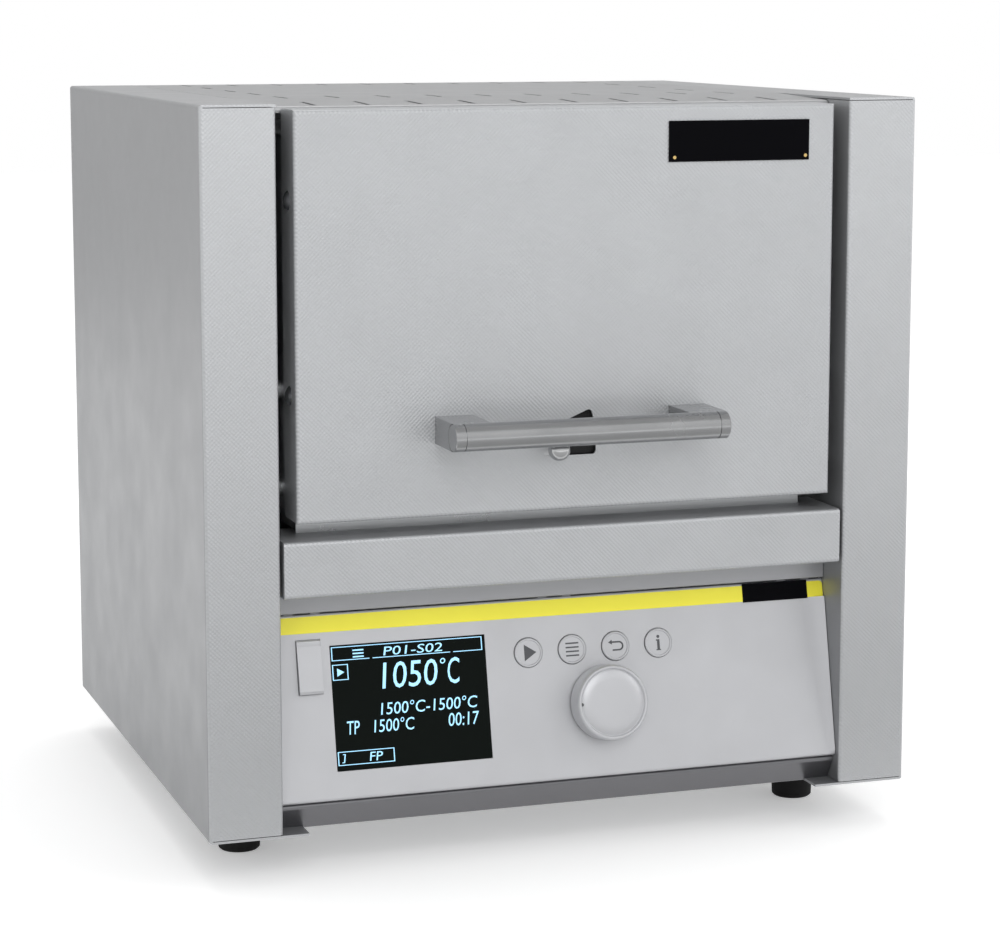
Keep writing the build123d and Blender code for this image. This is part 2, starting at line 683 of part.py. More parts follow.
def controller_board():
    """Circuit board behind the face, with a key switch under each key and its larger parts."""
    back = -BOARD_GAP - BOARD_THICKNESS
    board = block(BOARD_LEFT, BOARD_RIGHT, BOARD_FOOT, BOARD_TOP, back, -BOARD_GAP)
    board = chamfer(board.edges().filter_by(Axis.Z), 2)
    half = KEY_SWITCH_SIZE / 2
    cap = -BOARD_GAP + KEY_SWITCH_HEIGHT
    for x in key_places():
        board += block(x - half, x + half, KEY_HEIGHT - half, KEY_HEIGHT + half, -BOARD_GAP, cap)
        board += rod_z(cap, cap + SEAM, x, KEY_HEIGHT, half / 2)
    middle = (BOARD_FOOT + BOARD_TOP) / 2
    components = [
        ((LCD_LEFT + LCD_RIGHT) / 2, middle, PROCESSOR_SIZE, PROCESSOR_SIZE, PROCESSOR_HEIGHT),
        (LCD_RIGHT - SPACER_INSET, middle, TRANSFORMER_WIDTH, TRANSFORMER_LENGTH, TRANSFORMER_HEIGHT),
        (KNOB_X, middle + CONNECTOR_WIDTH, CONNECTOR_LENGTH, CONNECTOR_WIDTH, CONNECTOR_HEIGHT),
    ]
    for x, y, width, length, height in components:
        board += block(x - width / 2, x + width / 2, y - length / 2, y + length / 2, back - height, back)
    return on_face(board)


def encoder_body():
    """Rotary encoder on the board, with the threaded bush and nut that carry the knob's shaft."""
    half = ENCODER_SIZE / 2
    top = -FACE_THICKNESS - 1
    body = block(KNOB_X - half, KNOB_X + half, KNOB_HEIGHT - half, KNOB_HEIGHT + half, -BOARD_GAP, top)
    body += rod_z(top, FACE_THICKNESS, KNOB_X, KNOB_HEIGHT, BUSH_RADIUS)
    nut = extrude(Pos(KNOB_X, KNOB_HEIGHT) * RegularPolygon(NUT_RADIUS, 6), 1.8)
    body += nut
    body -= rod_z(-BOARD_GAP + 3, 4, KNOB_X, KNOB_HEIGHT, SHAFT_RADIUS + RUNNING)
    body -= rod_z(-BOARD_GAP + 1, -BOARD_GAP + 4, KNOB_X, KNOB_HEIGHT, SHAFT_RADIUS + SEAM)
    return on_face(body)


def encoder_plunger():
    """Small disc under the shaft that the knob presses."""
    low = -BOARD_GAP + 1.2 + KNOB_TRAVEL
    return on_face(rod_z(low, -BOARD_GAP + 3.9, KNOB_X, KNOB_HEIGHT, SHAFT_RADIUS))


def encoder_shaft():
    """Round shaft with a flat, from the plunger up into the knob."""
    shaft = rod_z(-BOARD_GAP + 4, KNOB_REACH - 2.4, KNOB_X, KNOB_HEIGHT, SHAFT_RADIUS)
    flat = KNOB_X + SHAFT_RADIUS - 0.8
    shaft -= block(flat, flat + 5, KNOB_HEIGHT - 5, KNOB_HEIGHT + 5, 4, KNOB_REACH)
    return on_face(shaft)


def jog_knob():
    """Turn and press knob: a hollow cup with a raised rim and a slightly domed face."""
    outer = KNOB_RADIUS
    gap = 0.6 + KNOB_TRAVEL
    hub = 3.0 + KNOB_TRAVEL
    reach = KNOB_REACH
    bore = SHAFT_RADIUS
    profile = [
        (bore, hub),
        (7, hub),
        (7, reach - 4.5),
        (outer - 2.4, reach - 4.5),
        (outer - 2.4, gap),
        (outer, gap),
        (outer, reach - 2.2),
        (outer - 0.5, reach - 0.6),
        (outer - 1.1, reach),
        (outer - 2.0, reach),
        (outer - 2.5, reach - 1.0),
        (outer - 3.2, reach - 1.1),
        (outer * 0.6, reach - 0.75),
        (outer * 0.3, reach - 0.55),
        (0, reach - 0.5),
        (0, reach - 2.4),
        (bore, reach - 2.4),
    ]
    knob = turned(profile)
    knob -= rod_z(reach - 1.6, reach + 1, 1.9 - outer, 0, 1.2)
    return on_face(Pos(KNOB_X, KNOB_HEIGHT, 0) * knob)


def face_key(x):
    """Round key with a raised ring, a stem towards its switch and a flange that keeps it in."""
    radius = KEY_RADIUS
    flange = -FACE_THICKNESS - SEAT
    foot = -BOARD_GAP + KEY_SWITCH_HEIGHT + SEAM + KEY_TRAVEL + SEAT
    profile = [
        (0, foot),
        (2, foot),
        (2, flange - 1),
        (radius + 1.4, flange - 1),
        (radius + 1.4, flange),
        (radius, flange),
        (radius, 0.7),
        (radius - 0.4, 1.0),
        (radius - 0.9, 1.0),
        (radius - 1.2, 0.5),
        (0, 0.5),
    ]
    return on_face(Pos(x, KEY_HEIGHT, 0) * turned(profile))


def usb_flap():
    """Soft cover over the data port, thicker towards its free end and hinged at its top."""
    top = FLAP_TOP - FLAP_HINGE_DROP
    section = outline([
        (top, -0.9),
        (FLAP_TOP - FLAP_LENGTH + 0.5, -0.9),
        (FLAP_TOP - FLAP_LENGTH, 0),
        (FLAP_TOP - FLAP_LENGTH, 2.1),
        (FLAP_TOP - FLAP_LENGTH + 1.5, 2.6),
        (top - 2, 1.4),
        (top - 2, 1.0),
        (top - 1.2, 1.0),
        (top - 1.2, 1.2),
        (top, 1.2),
    ])
    half = FLAP_WIDTH / 2
    leaf = Pos(FLAP_X - half, 0, 0) * extrude(Plane.YZ * section, FLAP_WIDTH)
    leaf += Pos(FLAP_X, 0, 0) * rod_x(-half, half, top, 0.1, FLAP_HINGE_DROP)
    return on_face(leaf)


def port_span(clearance=0.0):
    """Left and right of the data port."""
    half = PORT_WIDTH / 2 + clearance
    return FLAP_X - half, FLAP_X + half


def port_rise(clearance=0.0):
    """Foot and head of the data port, up the face."""
    middle = FLAP_TOP - FLAP_LENGTH / 2 - 1
    half = PORT_LENGTH / 2 + clearance
    return middle - half, middle + half


def usb_port():
    """Data port on the board: a thin metal sleeve with its tongue."""
    left, right = port_span()
    low, high = port_rise()
    wall = PORT_WALL
    tongue = PORT_WIDTH / 4
    sleeve = block(left, right, low, high, -BOARD_GAP, -4 * wall)
    sleeve -= block(left + wall, right - wall, low + wall, high - wall, -BOARD_GAP + 2 * wall, 0)
    sleeve += block(left + wall, left + wall + tongue, low + 3 * wall, high - 3 * wall, -BOARD_GAP + wall,
                    -10 * wall)
    return on_face(sleeve)


# Furnace body


def inner_casing():
    """Sheet box round the insulation, open at the front."""
    casing = block(-CASING_HALF, CASING_HALF, FRAME_BACK, CASING_BACK, CASING_LOW, CASING_TOP)
    upright = casing.edges().filter_by(Axis.Y)
    casing = fillet(upright, BEND)
    inner = CASING_HALF - CASING_SHEET
    casing -= block(-inner, inner, 0, CASING_BACK - CASING_SHEET, CASING_LOW + CASING_SHEET,
                    CASING_TOP - CASING_SHEET)
    return casing - rear_bores(CASING_BACK - BEND, CASING_BACK + 1, SEAT)


def lead_places():
    """Where the heater leads pass through the rear insulation."""
    x = CHAMBER_HALF + HEATER_THICKNESS / 2
    return [(side * x, MOUTH_Z + up * CHAMBER_HEIGHT / 4) for side in (-1, 1) for up in (-1, 1)]


def rear_bores(y0, y1, clearance):
    """Holes for the exhaust tube, the sensor and the four leads, grown by a clearance."""
    sheath = SHEATH_RADIUS + clearance
    bores = [rod_y(y0, y1, x, z, sheath) for x, z in lead_places()]
    bores.append(rod_y(y0, y1, THERMOCOUPLE_X, MOUTH_Z, sheath))
    bores.append(rod_y(y0, y1, 0, EXHAUST_Z, EXHAUST_RADIUS + clearance))
    return bores


def mouth(y0, y1, clearance):
    """Tapered space that the door's plug fills, between two depths, grown by a clearance."""
    def section(y):
        shrink = (y - DOOR_DEPTH) * PLUG_SLOPE / PLUG_LENGTH
        width = 2 * (MOUTH_HALF_WIDTH + clearance - shrink)
        height = 2 * (MOUTH_HALF_HEIGHT + clearance - shrink)
        return Pos(0, y, MOUTH_Z) * (Plane.XZ * RectangleRounded(width, height, 5))
    return loft([section(y0), section(y1)])


def front_frame():
    """Sheet ring round the mouth, in front of the insulation."""
    ring = block(-CASING_HALF, CASING_HALF, FRAME_FRONT, FRAME_BACK, CASING_LOW, CASING_TOP)
    return ring - mouth(FRAME_FRONT - 1, FRAME_BACK + 1, 3.0)


def insulation_collar():
    """Fibre ring round the mouth, tapered to the door's plug."""
    inner = CASING_HALF - CASING_SHEET
    ring = block(-inner, inner, FRAME_BACK, CHAMBER_FRONT, CASING_LOW + CASING_SHEET,
                 CASING_TOP - CASING_SHEET)
    return ring - mouth(FRAME_BACK - 1, CHAMBER_FRONT + 1, 1.5)


def insulation_slab(z0, z1, y0, y1):
    """A full-width fibre slab."""
    inner = CASING_HALF - CASING_SHEET
    return block(-inner, inner, y0, y1, z0, z1)


def insulation_floor():
    """Fibre slab under the chamber, stepped to hold the hearth plate."""
    slab = insulation_slab(CASING_LOW + CASING_SHEET, CHAMBER_LOW, CHAMBER_FRONT, CHAMBER_BACK)
    slab -= block(-CHAMBER_HALF - SEAT, CHAMBER_HALF + SEAT, 0, HOUSING_DEPTH, HEARTH_LOW, TOP)
    return slab


def insulation_roof():
    """Fibre slab over the chamber."""
    return insulation_slab(CHAMBER_TOP, CASING_TOP - CASING_SHEET, CHAMBER_FRONT, CHAMBER_BACK)


def insulation_rear():
    """Fibre slab behind the chamber, bored for the exhaust tube, the sensor and the heater leads."""
    slab = insulation_slab(CASING_LOW + CASING_SHEET, CASING_TOP - CASING_SHEET, CHAMBER_BACK,
                           CASING_BACK - CASING_SHEET)
    return slab - rear_bores(CHAMBER_BACK - 1, CASING_BACK, RUNNING)


def insulation_wall():
    """Fibre wall outside the left heating plate."""
    inner = CASING_HALF - CASING_SHEET
    return block(-inner, -HEATER_OUT, CHAMBER_FRONT, CHAMBER_BACK, CHAMBER_LOW, CHAMBER_TOP)


def winding_heights():
    """Heights of the windings, spread evenly over the chamber."""
    pitch = CHAMBER_HEIGHT / (WINDINGS + 1)
    return [CHAMBER_LOW + index * pitch for index in range(1, WINDINGS + 1)]


def heating_plate():
    """Left ceramic heating plate, grooved along its chamber side where the winding runs."""
    plate = block(-HEATER_OUT, -CHAMBER_HALF, CHAMBER_FRONT, CHAMBER_BACK, CHAMBER_LOW, CHAMBER_TOP)
    y0 = CHAMBER_FRONT + GROOVE_END
    y1 = CHAMBER_BACK - GROOVE_END
    half = WINDING_PITCH / 4
    grooves = []
    for z in winding_heights():
        grooves.append(block(-CHAMBER_HALF - GROOVE_DEPTH, -CHAMBER_HALF + 1, y0, y1, z - half, z + half))
    return plate - grooves


def heater_windings():
    """Bare windings that lie in the grooves of both plates, drawn as straight rods."""
    y0 = CHAMBER_FRONT + GROOVE_END + SEAM
    y1 = CHAMBER_BACK - GROOVE_END - SEAM
    x = CHAMBER_HALF + WINDING_RADIUS + SEAT
    rods = [rod_y(y0, y1, x, z, WINDING_RADIUS) for z in winding_heights()]
    return Part() + rods + [mirrored(rod) for rod in rods]


def heater_leads():
    """Four leads from the plates through the rear insulation to the terminals."""
    end = CASING_BACK + LEAD_REACH
    return Part() + [rod_y(CHAMBER_BACK, end, x, z, SHEATH_RADIUS) for x, z in lead_places()]


def hearth_plate():
    """Ceramic plate on the chamber floor, with softened upper edges."""
    plate = block(-CHAMBER_HALF, CHAMBER_HALF, CHAMBER_FRONT + 0.5, CHAMBER_BACK - 0.5, HEARTH_LOW,
                  CHAMBER_LOW)
    top_edges = plate.edges().group_by(Axis.Z)[-1]
    return chamfer(top_edges, 1.0)


def thermocouple():
    """Sheathed sensor from the chamber's rear wall to its head behind the casing."""
    head = CASING_BACK + SENSOR_NECK
    sensor = rod_y(CHAMBER_BACK - SENSOR_REACH, head, THERMOCOUPLE_X, MOUTH_Z, SHEATH_RADIUS)
    sensor += rod_y(head, head + SENSOR_HEAD_LENGTH, THERMOCOUPLE_X, MOUTH_Z, SENSOR_HEAD_RADIUS)
    sensor += rod_y(CASING_BACK, head, THERMOCOUPLE_X, MOUTH_Z, 2 * SHEATH_RADIUS)
    return sensor


def exhaust_tube():
    """Ceramic tube from the chamber to the rear outlet."""
    tube = rod_y(CHAMBER_BACK, REAR_FACE, 0, EXHAUST_Z, EXHAUST_RADIUS)
    return tube - rod_y(CHAMBER_BACK - 1, HOUSING_DEPTH, 0, EXHAUST_Z, EXHAUST_BORE / 2)


def exhaust_outlet():
    """Stainless outlet through the rear panel: a sleeve, a flange outside, a relief and the stub."""
    start = REAR_FACE - SHEET - OUTLET_SLEEVE
    stub = HOUSING_DEPTH + OUTLET_NECK
    end = HOUSING_DEPTH + OUTLET_REACH
    outlet = rod_y(start, stub, 0, EXHAUST_Z, OUTLET_NECK_RADIUS)
    outlet += rod_y(REAR_FACE, HOUSING_DEPTH, 0, EXHAUST_Z, OUTLET_RADIUS + OUTLET_FLANGE)
    outlet += rod_y(stub, end, 0, EXHAUST_Z, OUTLET_RADIUS)
    outlet -= rod_y(start - 1, REAR_FACE + SEAT, 0, EXHAUST_Z, EXHAUST_RADIUS + SEAT)
    return outlet - rod_y(REAR_FACE, end + 1, 0, EXHAUST_Z, OUTLET_RADIUS - OUTLET_SHEET)


def terminal_block():
    """Ceramic terminal rail behind the casing, where the heater leads end."""
    x, low = lead_places()[0]
    high = lead_places()[1][1]
    half = TERMINAL_WIDTH / 2
    back = CASING_BACK + TERMINAL_DEPTH
    rails = []
    for side in (-1, 1):
        middle = side * x
        rail = block(middle - half, middle + half, CASING_BACK, back, low - TERMINAL_END, high + TERMINAL_END)
        rail = chamfer(rail.edges().filter_by(Axis.Z), 2)
        for z in (low, high):
            rail -= rod_y(CASING_BACK - 1, back + 1, middle, z, SHEATH_RADIUS + RUNNING)
        rails.append(rail)
    return Part() + rails


def casing_supports():
    """Four folded posts that carry the furnace body above the base pan."""
    outer = CASING_HALF - POST_INSET
    posts = []
    for y in (CONSOLE_DEPTH + POST_INSET / 2, CASING_BACK - POST_DEPTH - POST_INSET / 2):
        section = folded([
            (y + POST_DEPTH, CASING_LOW),
            (y, CASING_LOW),
            (y, PAN_TOP),
            (y + POST_DEPTH, PAN_TOP),
        ])
        post = along_x(section, -outer, -outer + POST_WIDTH)
        posts += [post, mirrored(post)]
    return Part() + posts


def relay():
    """Solid-state relay on the base pan, recessed round its terminals at both ends."""
    half_x = RELAY_LENGTH / 2
    half_y = RELAY_WIDTH / 2
    top = PAN_TOP + RELAY_HEIGHT
    floor = top - RELAY_RECESS_DEPTH
    body = block(RELAY_X - half_x, RELAY_X + half_x, RELAY_Y - half_y, RELAY_Y + half_y, PAN_TOP, top)
    for side in (-1, 1):
        near = RELAY_Y + side * (half_y - RELAY_RECESS_WIDTH)
        far = RELAY_Y + side * (half_y + 1)
        recess = RELAY_RECESS_LENGTH / 2
        body -= block(RELAY_X - recess, RELAY_X + recess, near, far, floor, top + 1)
        y = near + side * RELAY_RECESS_WIDTH / 2
        for x in (-TERMINAL_SCREW_PITCH / 2, TERMINAL_SCREW_PITCH / 2):
            body += rod_z(floor - 1, floor + TERMINAL_SCREW_RADIUS, RELAY_X + x, y, TERMINAL_SCREW_RADIUS)
    return body


# Door and lift


def inlet_hole(grow=0.0):
    """Wedge-shaped air hole in the door, wider towards its right end."""
    low = AIR_LOW - grow
    points = [
        (-14.5 - grow, low),
        (13.3 + grow, low),
        (13.3 + grow, AIR_LOW + 14.5),
        (10.5 + grow, AIR_LOW + 24 + grow),
        (-14.5 - grow, AIR_LOW + 13.5 + grow),
    ]
    face = outline(points)
    return fillet(face.vertices(), 2.0)


def door_shell():
    """Folded door front with its four flanges, open corners and the air hole."""
    shell = block(-DOOR_HALF, DOOR_HALF, 0, DOOR_DEPTH, DOOR_LOW, DOOR_TOP)
    front_edges = shell.edges().group_by(Axis.Y)[0]
    shell = fillet(front_edges, BEND)
    shell -= block(-DOOR_HALF + SHEET, DOOR_HALF - SHEET, SHEET, DOOR_DEPTH + 1, DOOR_LOW + SHEET,
                   DOOR_TOP - SHEET)
    for side in (-1, 1):
        for z in (DOOR_LOW, DOOR_TOP):
            slit = block(side * DOOR_HALF - SEAM, side * DOOR_HALF + SEAM, BEND + 1, DOOR_DEPTH + 1,
                         z - SEAM, z + SEAM)
            corner = Pos(side * (DOOR_HALF - SHEET / 2), 0, z) * Rot(0, 45, 0)
            shell -= slit + corner * Pos(0, DOOR_DEPTH / 2 + BEND, 0) * Box(4 * SHEET, DOOR_DEPTH, SEAM)
    shell -= along_y(inlet_hole(), -1, SHEET + 1)
    return shell


def door_insulation():
    """Fibre board that fills the door, bored for the air channel."""
    half = CARRIER_IN - SEAT
    board = block(-half, half, SHEET + SEAT, DOOR_DEPTH - SHEET, DOOR_LOW + SHEET + SEAT,
                  DOOR_TOP - SHEET - SEAT)
    board -= block(-52, 42, 0, AIR_SLIDE_Y + AIR_SLIDE_THICKNESS + SEAT, AIR_LOW - 6, AIR_LOW + 30)
    return board - rod_y(0, DOOR_DEPTH, 0, AIR_CHANNEL_Z, AIR_BORE / 2)


def door_inner_frame():
    """Sheet ring that holds the board and the plug in the door."""
    half = CARRIER_IN - SEAT
    ring = block(-half, half, DOOR_DEPTH - SHEET, DOOR_DEPTH, DOOR_LOW + SHEET + SEAT,
                 DOOR_TOP - SHEET - SEAT)
    return ring - mouth(DOOR_DEPTH - 2 * SHEET, DOOR_DEPTH + 1, SEAT)


def door_plug():
    """Tapered fibre plug that closes the mouth of the chamber."""
    plug = mouth(DOOR_DEPTH - SHEET, DOOR_DEPTH + PLUG_LENGTH, 0)
    return plug - rod_y(0, HOUSING_DEPTH, 0, AIR_CHANNEL_Z, AIR_BORE / 2)


def handle_bar():
    """Round brushed bar of the handle, with a fine groove near each end."""
    radius = HANDLE_BAR_RADIUS
    groove = HANDLE_HALF - GROOVE_INSET
    profile = [
        (0, 0),
        (radius, 0),
        (radius, groove - SEAM),
        (radius - 1, groove - SEAM),
        (radius - 1, groove),
        (radius, groove),
        (radius, HANDLE_HALF - SEAM),
        (radius - SEAM, HANDLE_HALF),
        (0, HANDLE_HALF),
    ]
    half = Pos(0, -HANDLE_REACH, HANDLE_Z) * Rot(0, -90, 0) * turned(profile)
    return half + mirrored(half)


def handle_mount():
    """Left mount of the handle: a flat block with a half-round saddle for the bar."""
    low = HANDLE_Z - HANDLE_BAR_RADIUS
    high = HANDLE_Z + HANDLE_BAR_RADIUS
    body = block(-HANDLE_HALF, -HANDLE_HALF + MOUNT_LENGTH, -HANDLE_REACH, 0, low, high)
    saddle = rod_x(-HANDLE_HALF - 1, HANDLE_HALF, -HANDLE_REACH, HANDLE_Z, HANDLE_BAR_RADIUS)
    return body - saddle


def air_slide():
    """Slide behind the door sheet that meters the air, with the stem of its knob."""
    low = AIR_LOW - 4
    high = AIR_LOW + 28
    plate = along_y(outline([(-46, low), (-9, low), (-5, high), (-46, high)]), AIR_SLIDE_Y,
                    AIR_SLIDE_Y + AIR_SLIDE_THICKNESS)
    return plate + rod_y(AIR_SLIDE_Y, AIR_KNOB_Y + 3, AIR_KNOB_X, AIR_KNOB_Z, AIR_STEM_RADIUS)


def air_knob():
    """Polished ball on the stem of the air slide, flattened where the stem enters."""
    ball = Pos(AIR_KNOB_X, AIR_KNOB_Y, AIR_KNOB_Z) * Sphere(AIR_KNOB_RADIUS)
    seat = AIR_KNOB_Y + AIR_KNOB_RADIUS * 0.86
    ball -= block(-HALF, HALF, seat, seat + 10, DOOR_LOW, DOOR_TOP)
    return ball - rod_y(AIR_KNOB_Y + 3, 0, AIR_KNOB_X, AIR_KNOB_Z, AIR_STEM_RADIUS)


def door_carrier():
    """Left carrier plate inside the door's side flange, reaching back to both arms."""
    bottom = LOWER_CARRIER_Z - 10
    step = UPPER_CARRIER_Z + 11
    top = DOOR_TOP - 30
    shape = outline([
        (2, bottom),
        (CARRIER_PIVOT_Y + 10, bottom),
        (CARRIER_PIVOT_Y + 10, step),
        (DOOR_DEPTH - 2, step + 14),
        (DOOR_DEPTH - 2, top),
        (2, top),
    ])
    shape = fillet(shape.vertices(), 4)
    plate = along_x(shape, -CARRIER_OUT, -CARRIER_IN)
    for z in (LOWER_CARRIER_Z, UPPER_CARRIER_Z):
        plate -= rod_x(-HALF, 0, CARRIER_PIVOT_Y, z, PIVOT_RADIUS + RUNNING)
    return plate


def door_bolts():
    """Domed bolts that hold the carrier plates to the door's side flanges."""
    out = DOOR_HALF
    head = dome_head(BOLT_RADIUS, BOLT_HEIGHT)
    bolts = []
    for z in (UPPER_CARRIER_Z + 0.5, DOOR_TOP - 45):
        bolt = Pos(-out, BOLT_Y, z) * Rot(0, -90, 0) * head
        bolts.append(bolt)
        bolts.append(mirrored(bolt))
    return Part() + bolts


def swing_arm(frame_z, carrier_z, open_gap):
    """Left flat arm with round ends, bored for its two pins."""
    angle = math.degrees(math.atan2(frame_z - carrier_z, LIFT_Y - CARRIER_PIVOT_Y))
    middle = Pos((LIFT_Y + CARRIER_PIVOT_Y) / 2, (frame_z + carrier_z) / 2)
    shape = middle * Rot(0, 0, angle) * SlotCenterToCenter(ARM_LENGTH, ARM_WIDTH)
    arm = along_x(shape, -ARM_OUT, -ARM_IN)
    arm -= rod_x(-HALF, 0, LIFT_Y, frame_z, PIVOT_RADIUS + RUNNING)
    return arm - rod_x(-HALF, 0, CARRIER_PIVOT_Y, carrier_z, PIVOT_RADIUS + open_gap)


def pivot_frame():
    """Left plate behind the column's return flange that carries the two frame pivots."""
    low = LIFT_Z - ARM_SPACING - 16
    shape = outline([
        (2, low),
        (LIFT_Y - 4, low),
        (LIFT_Y + 14, low + 18),
        (LIFT_Y + 14, LIFT_Z + 14),
        (2, LIFT_Z + 14),
    ])
    shape = fillet(shape.vertices(), 5)
    plate = along_x(shape, -FRAME_OUT - 3, -FRAME_OUT)
    for z in (LIFT_Z, LIFT_Z - ARM_SPACING):
        plate -= rod_x(-HALF, 0, LIFT_Y, z, PIVOT_RADIUS + RUNNING)
    return plate


def pin(spans):
    """A stepped pin along X, from a list of start, end and radius, at the origin."""
    body = Part()
    for x0, x1, radius in spans:
        body += rod_x(x0, x1, 0, 0, radius)
    return body


def frame_pins():
    """Four shoulder pins that carry the arms on the pivot frames."""
    shape = pin([
        (-FRAME_OUT - 5, -FRAME_OUT - 3, PIVOT_HEAD),
        (-FRAME_OUT - 3, -ARM_IN + 0.2, PIVOT_RADIUS),
        (-FRAME_OUT, -ARM_OUT - 0.2, PIVOT_HEAD),
        (-ARM_IN + 0.2, -ARM_IN + 2.2, PIVOT_HEAD),
    ])
    pins = [Pos(0, LIFT_Y, z) * shape for z in (LIFT_Z, LIFT_Z - ARM_SPACING)]
    return Part() + pins + [mirrored(one) for one in pins]


def carrier_pins():
    """Four shoulder pins on the door's carrier plates."""
    shape = pin([
        (-ARM_OUT - 2.5, -ARM_OUT - 0.2, PIVOT_HEAD),
        (-ARM_OUT - 0.2, -CARRIER_IN, PIVOT_RADIUS),
        (-ARM_IN + 0.2, -CARRIER_OUT, PIVOT_HEAD),
        (-CARRIER_IN, -CARRIER_IN + 1.6, PIVOT_HEAD - 1),
    ])
    pins = [Pos(0, CARRIER_PIVOT_Y, z) * shape for z in (LOWER_CARRIER_Z, UPPER_CARRIER_Z)]
    return Part() + pins + [mirrored(one) for one in pins]


# Rear fittings


def inlet_span(clearance=0.0):
    """Left and right of the power inlet's body."""
    half = INLET_WIDTH / 2 + clearance
    return INLET_X - half, INLET_X + half


def inlet_rise(clearance=0.0):
    """Foot and head of the power inlet's body."""
    half = INLET_HEIGHT / 2 + clearance
    return FITTING_Z - half, FITTING_Z + half


def power_inlet():
    """Appliance inlet: a flanged socket with chamfered lower corners."""
    body = block(*inlet_span(), REAR_FACE - INLET_DEPTH, REAR_FACE, *inlet_rise())
    flange = Pos(INLET_X, FITTING_Z) * RectangleRounded(INLET_FLANGE_WIDTH, INLET_FLANGE_HEIGHT, 4)
    rim = REAR_FACE + INLET_FLANGE_DEPTH
    body += along_y(flange, REAR_FACE, rim)
    socket = chamfer(Rectangle(SOCKET_WIDTH, SOCKET_HEIGHT).vertices().group_by(Axis.Y)[0], 4)
    body -= along_y(Pos(INLET_X, FITTING_Z) * socket, REAR_FACE - SOCKET_DEPTH, rim + 1)
    for side in (-1, 1):
        x = INLET_X + side * INLET_SCREW_PITCH / 2
        body -= rod_y(REAR_FACE - 1, rim + 1, x, FITTING_Z, SCREW_RADIUS / 2)
    return body


def inlet_pins():
    """Three flat contacts of the power inlet."""
    half_x = CONTACT_WIDTH / 2
    half_z = CONTACT_HEIGHT / 2
    y0 = REAR_FACE - SOCKET_DEPTH
    y1 = REAR_FACE - 1.5 * CONTACT_WIDTH
    pins = []
    for across, up in ((-1, -1.0), (1, -1.0), (0, 1.5)):
        x = INLET_X + across * CONTACT_PITCH
        z = FITTING_Z + up * CONTACT_WIDTH
        pins.append(block(x - half_x, x + half_x, y0, y1, z - half_z, z + half_z))
    return pins


def switch_span(clearance=0.0):
    """Left and right of the mains switch."""
    half = SWITCH_WIDTH / 2 + clearance
    return SWITCH_X - half, SWITCH_X + half


def switch_rise(clearance=0.0):
    """Foot and head of the mains switch."""
    half = SWITCH_HEIGHT / 2 + clearance
    return FITTING_Z - half, FITTING_Z + half


def switch_body():
    """Frame of the mains switch, open at the back for its rocker."""
    body = block(*switch_span(), REAR_FACE - SWITCH_DEPTH, REAR_FACE, *switch_rise())
    rim = RectangleRounded(SWITCH_WIDTH + SWITCH_RIM, SWITCH_HEIGHT + SWITCH_RIM, 2)
    body += along_y(Pos(SWITCH_X, FITTING_Z) * rim, REAR_FACE, REAR_FACE + SWITCH_RIM_DEPTH)
    bay = SWITCH_BAY_HALF
    tall = ROCKER_RADIUS + 2 * SEAM
    body -= block(SWITCH_X - bay, SWITCH_X + bay, REAR_FACE - SWITCH_BAY_DEPTH, REAR_FACE + SWITCH_RIM,
                  FITTING_Z - tall, FITTING_Z + tall)
    return body - rod_x(SWITCH_X - bay - 1, SWITCH_X + bay + 1, ROCKER_Y, FITTING_Z, ROCKER_AXLE + RUNNING)


def switch_rocker():
    """Rocker of the mains switch, dished in front, resting with its lower half out."""
    crown = ROCKER_RADIUS / 2
    shape = Circle(ROCKER_RADIUS)
    shape -= Pos(crown + ROCKER_RADIUS, 0) * Rectangle(2 * ROCKER_RADIUS, 3 * ROCKER_RADIUS)
    shape -= Pos(-crown / 2 - ROCKER_RADIUS, 0) * Rectangle(2 * ROCKER_RADIUS, 3 * ROCKER_RADIUS)
    shape -= Pos(crown - 1.6 + 2.3 * ROCKER_RADIUS, 0) * Circle(2.3 * ROCKER_RADIUS)
    half = SWITCH_BAY_HALF - SEAT
    rocker = along_x(Rot(0, 0, ROCKER_TILT) * shape, -half, half)
    rocker += rod_x(-half - 1, half + 1, 0, 0, ROCKER_AXLE)
    return Pos(SWITCH_X, ROCKER_Y, FITTING_Z) * rocker


def rear_screws():
    """Pan-head screws of the rear panel and of the power inlet."""
    head = Rot(-90, 0, 0) * dome_head(SCREW_RADIUS, SCREW_HEIGHT)
    rim = REAR_FACE + INLET_FLANGE_DEPTH
    screws = []
    for side in (-1, 1):
        for z in (BASE + SCREW_INSET, (BASE + TOP) / 2, TOP - SCREW_INSET):
            screws.append(Pos(side * (HALF - REAR_LIP / 2), HOUSING_DEPTH, z) * head)
        screws.append(Pos(INLET_X + side * INLET_SCREW_PITCH / 2, rim, FITTING_Z) * head)
    return Part() + screws


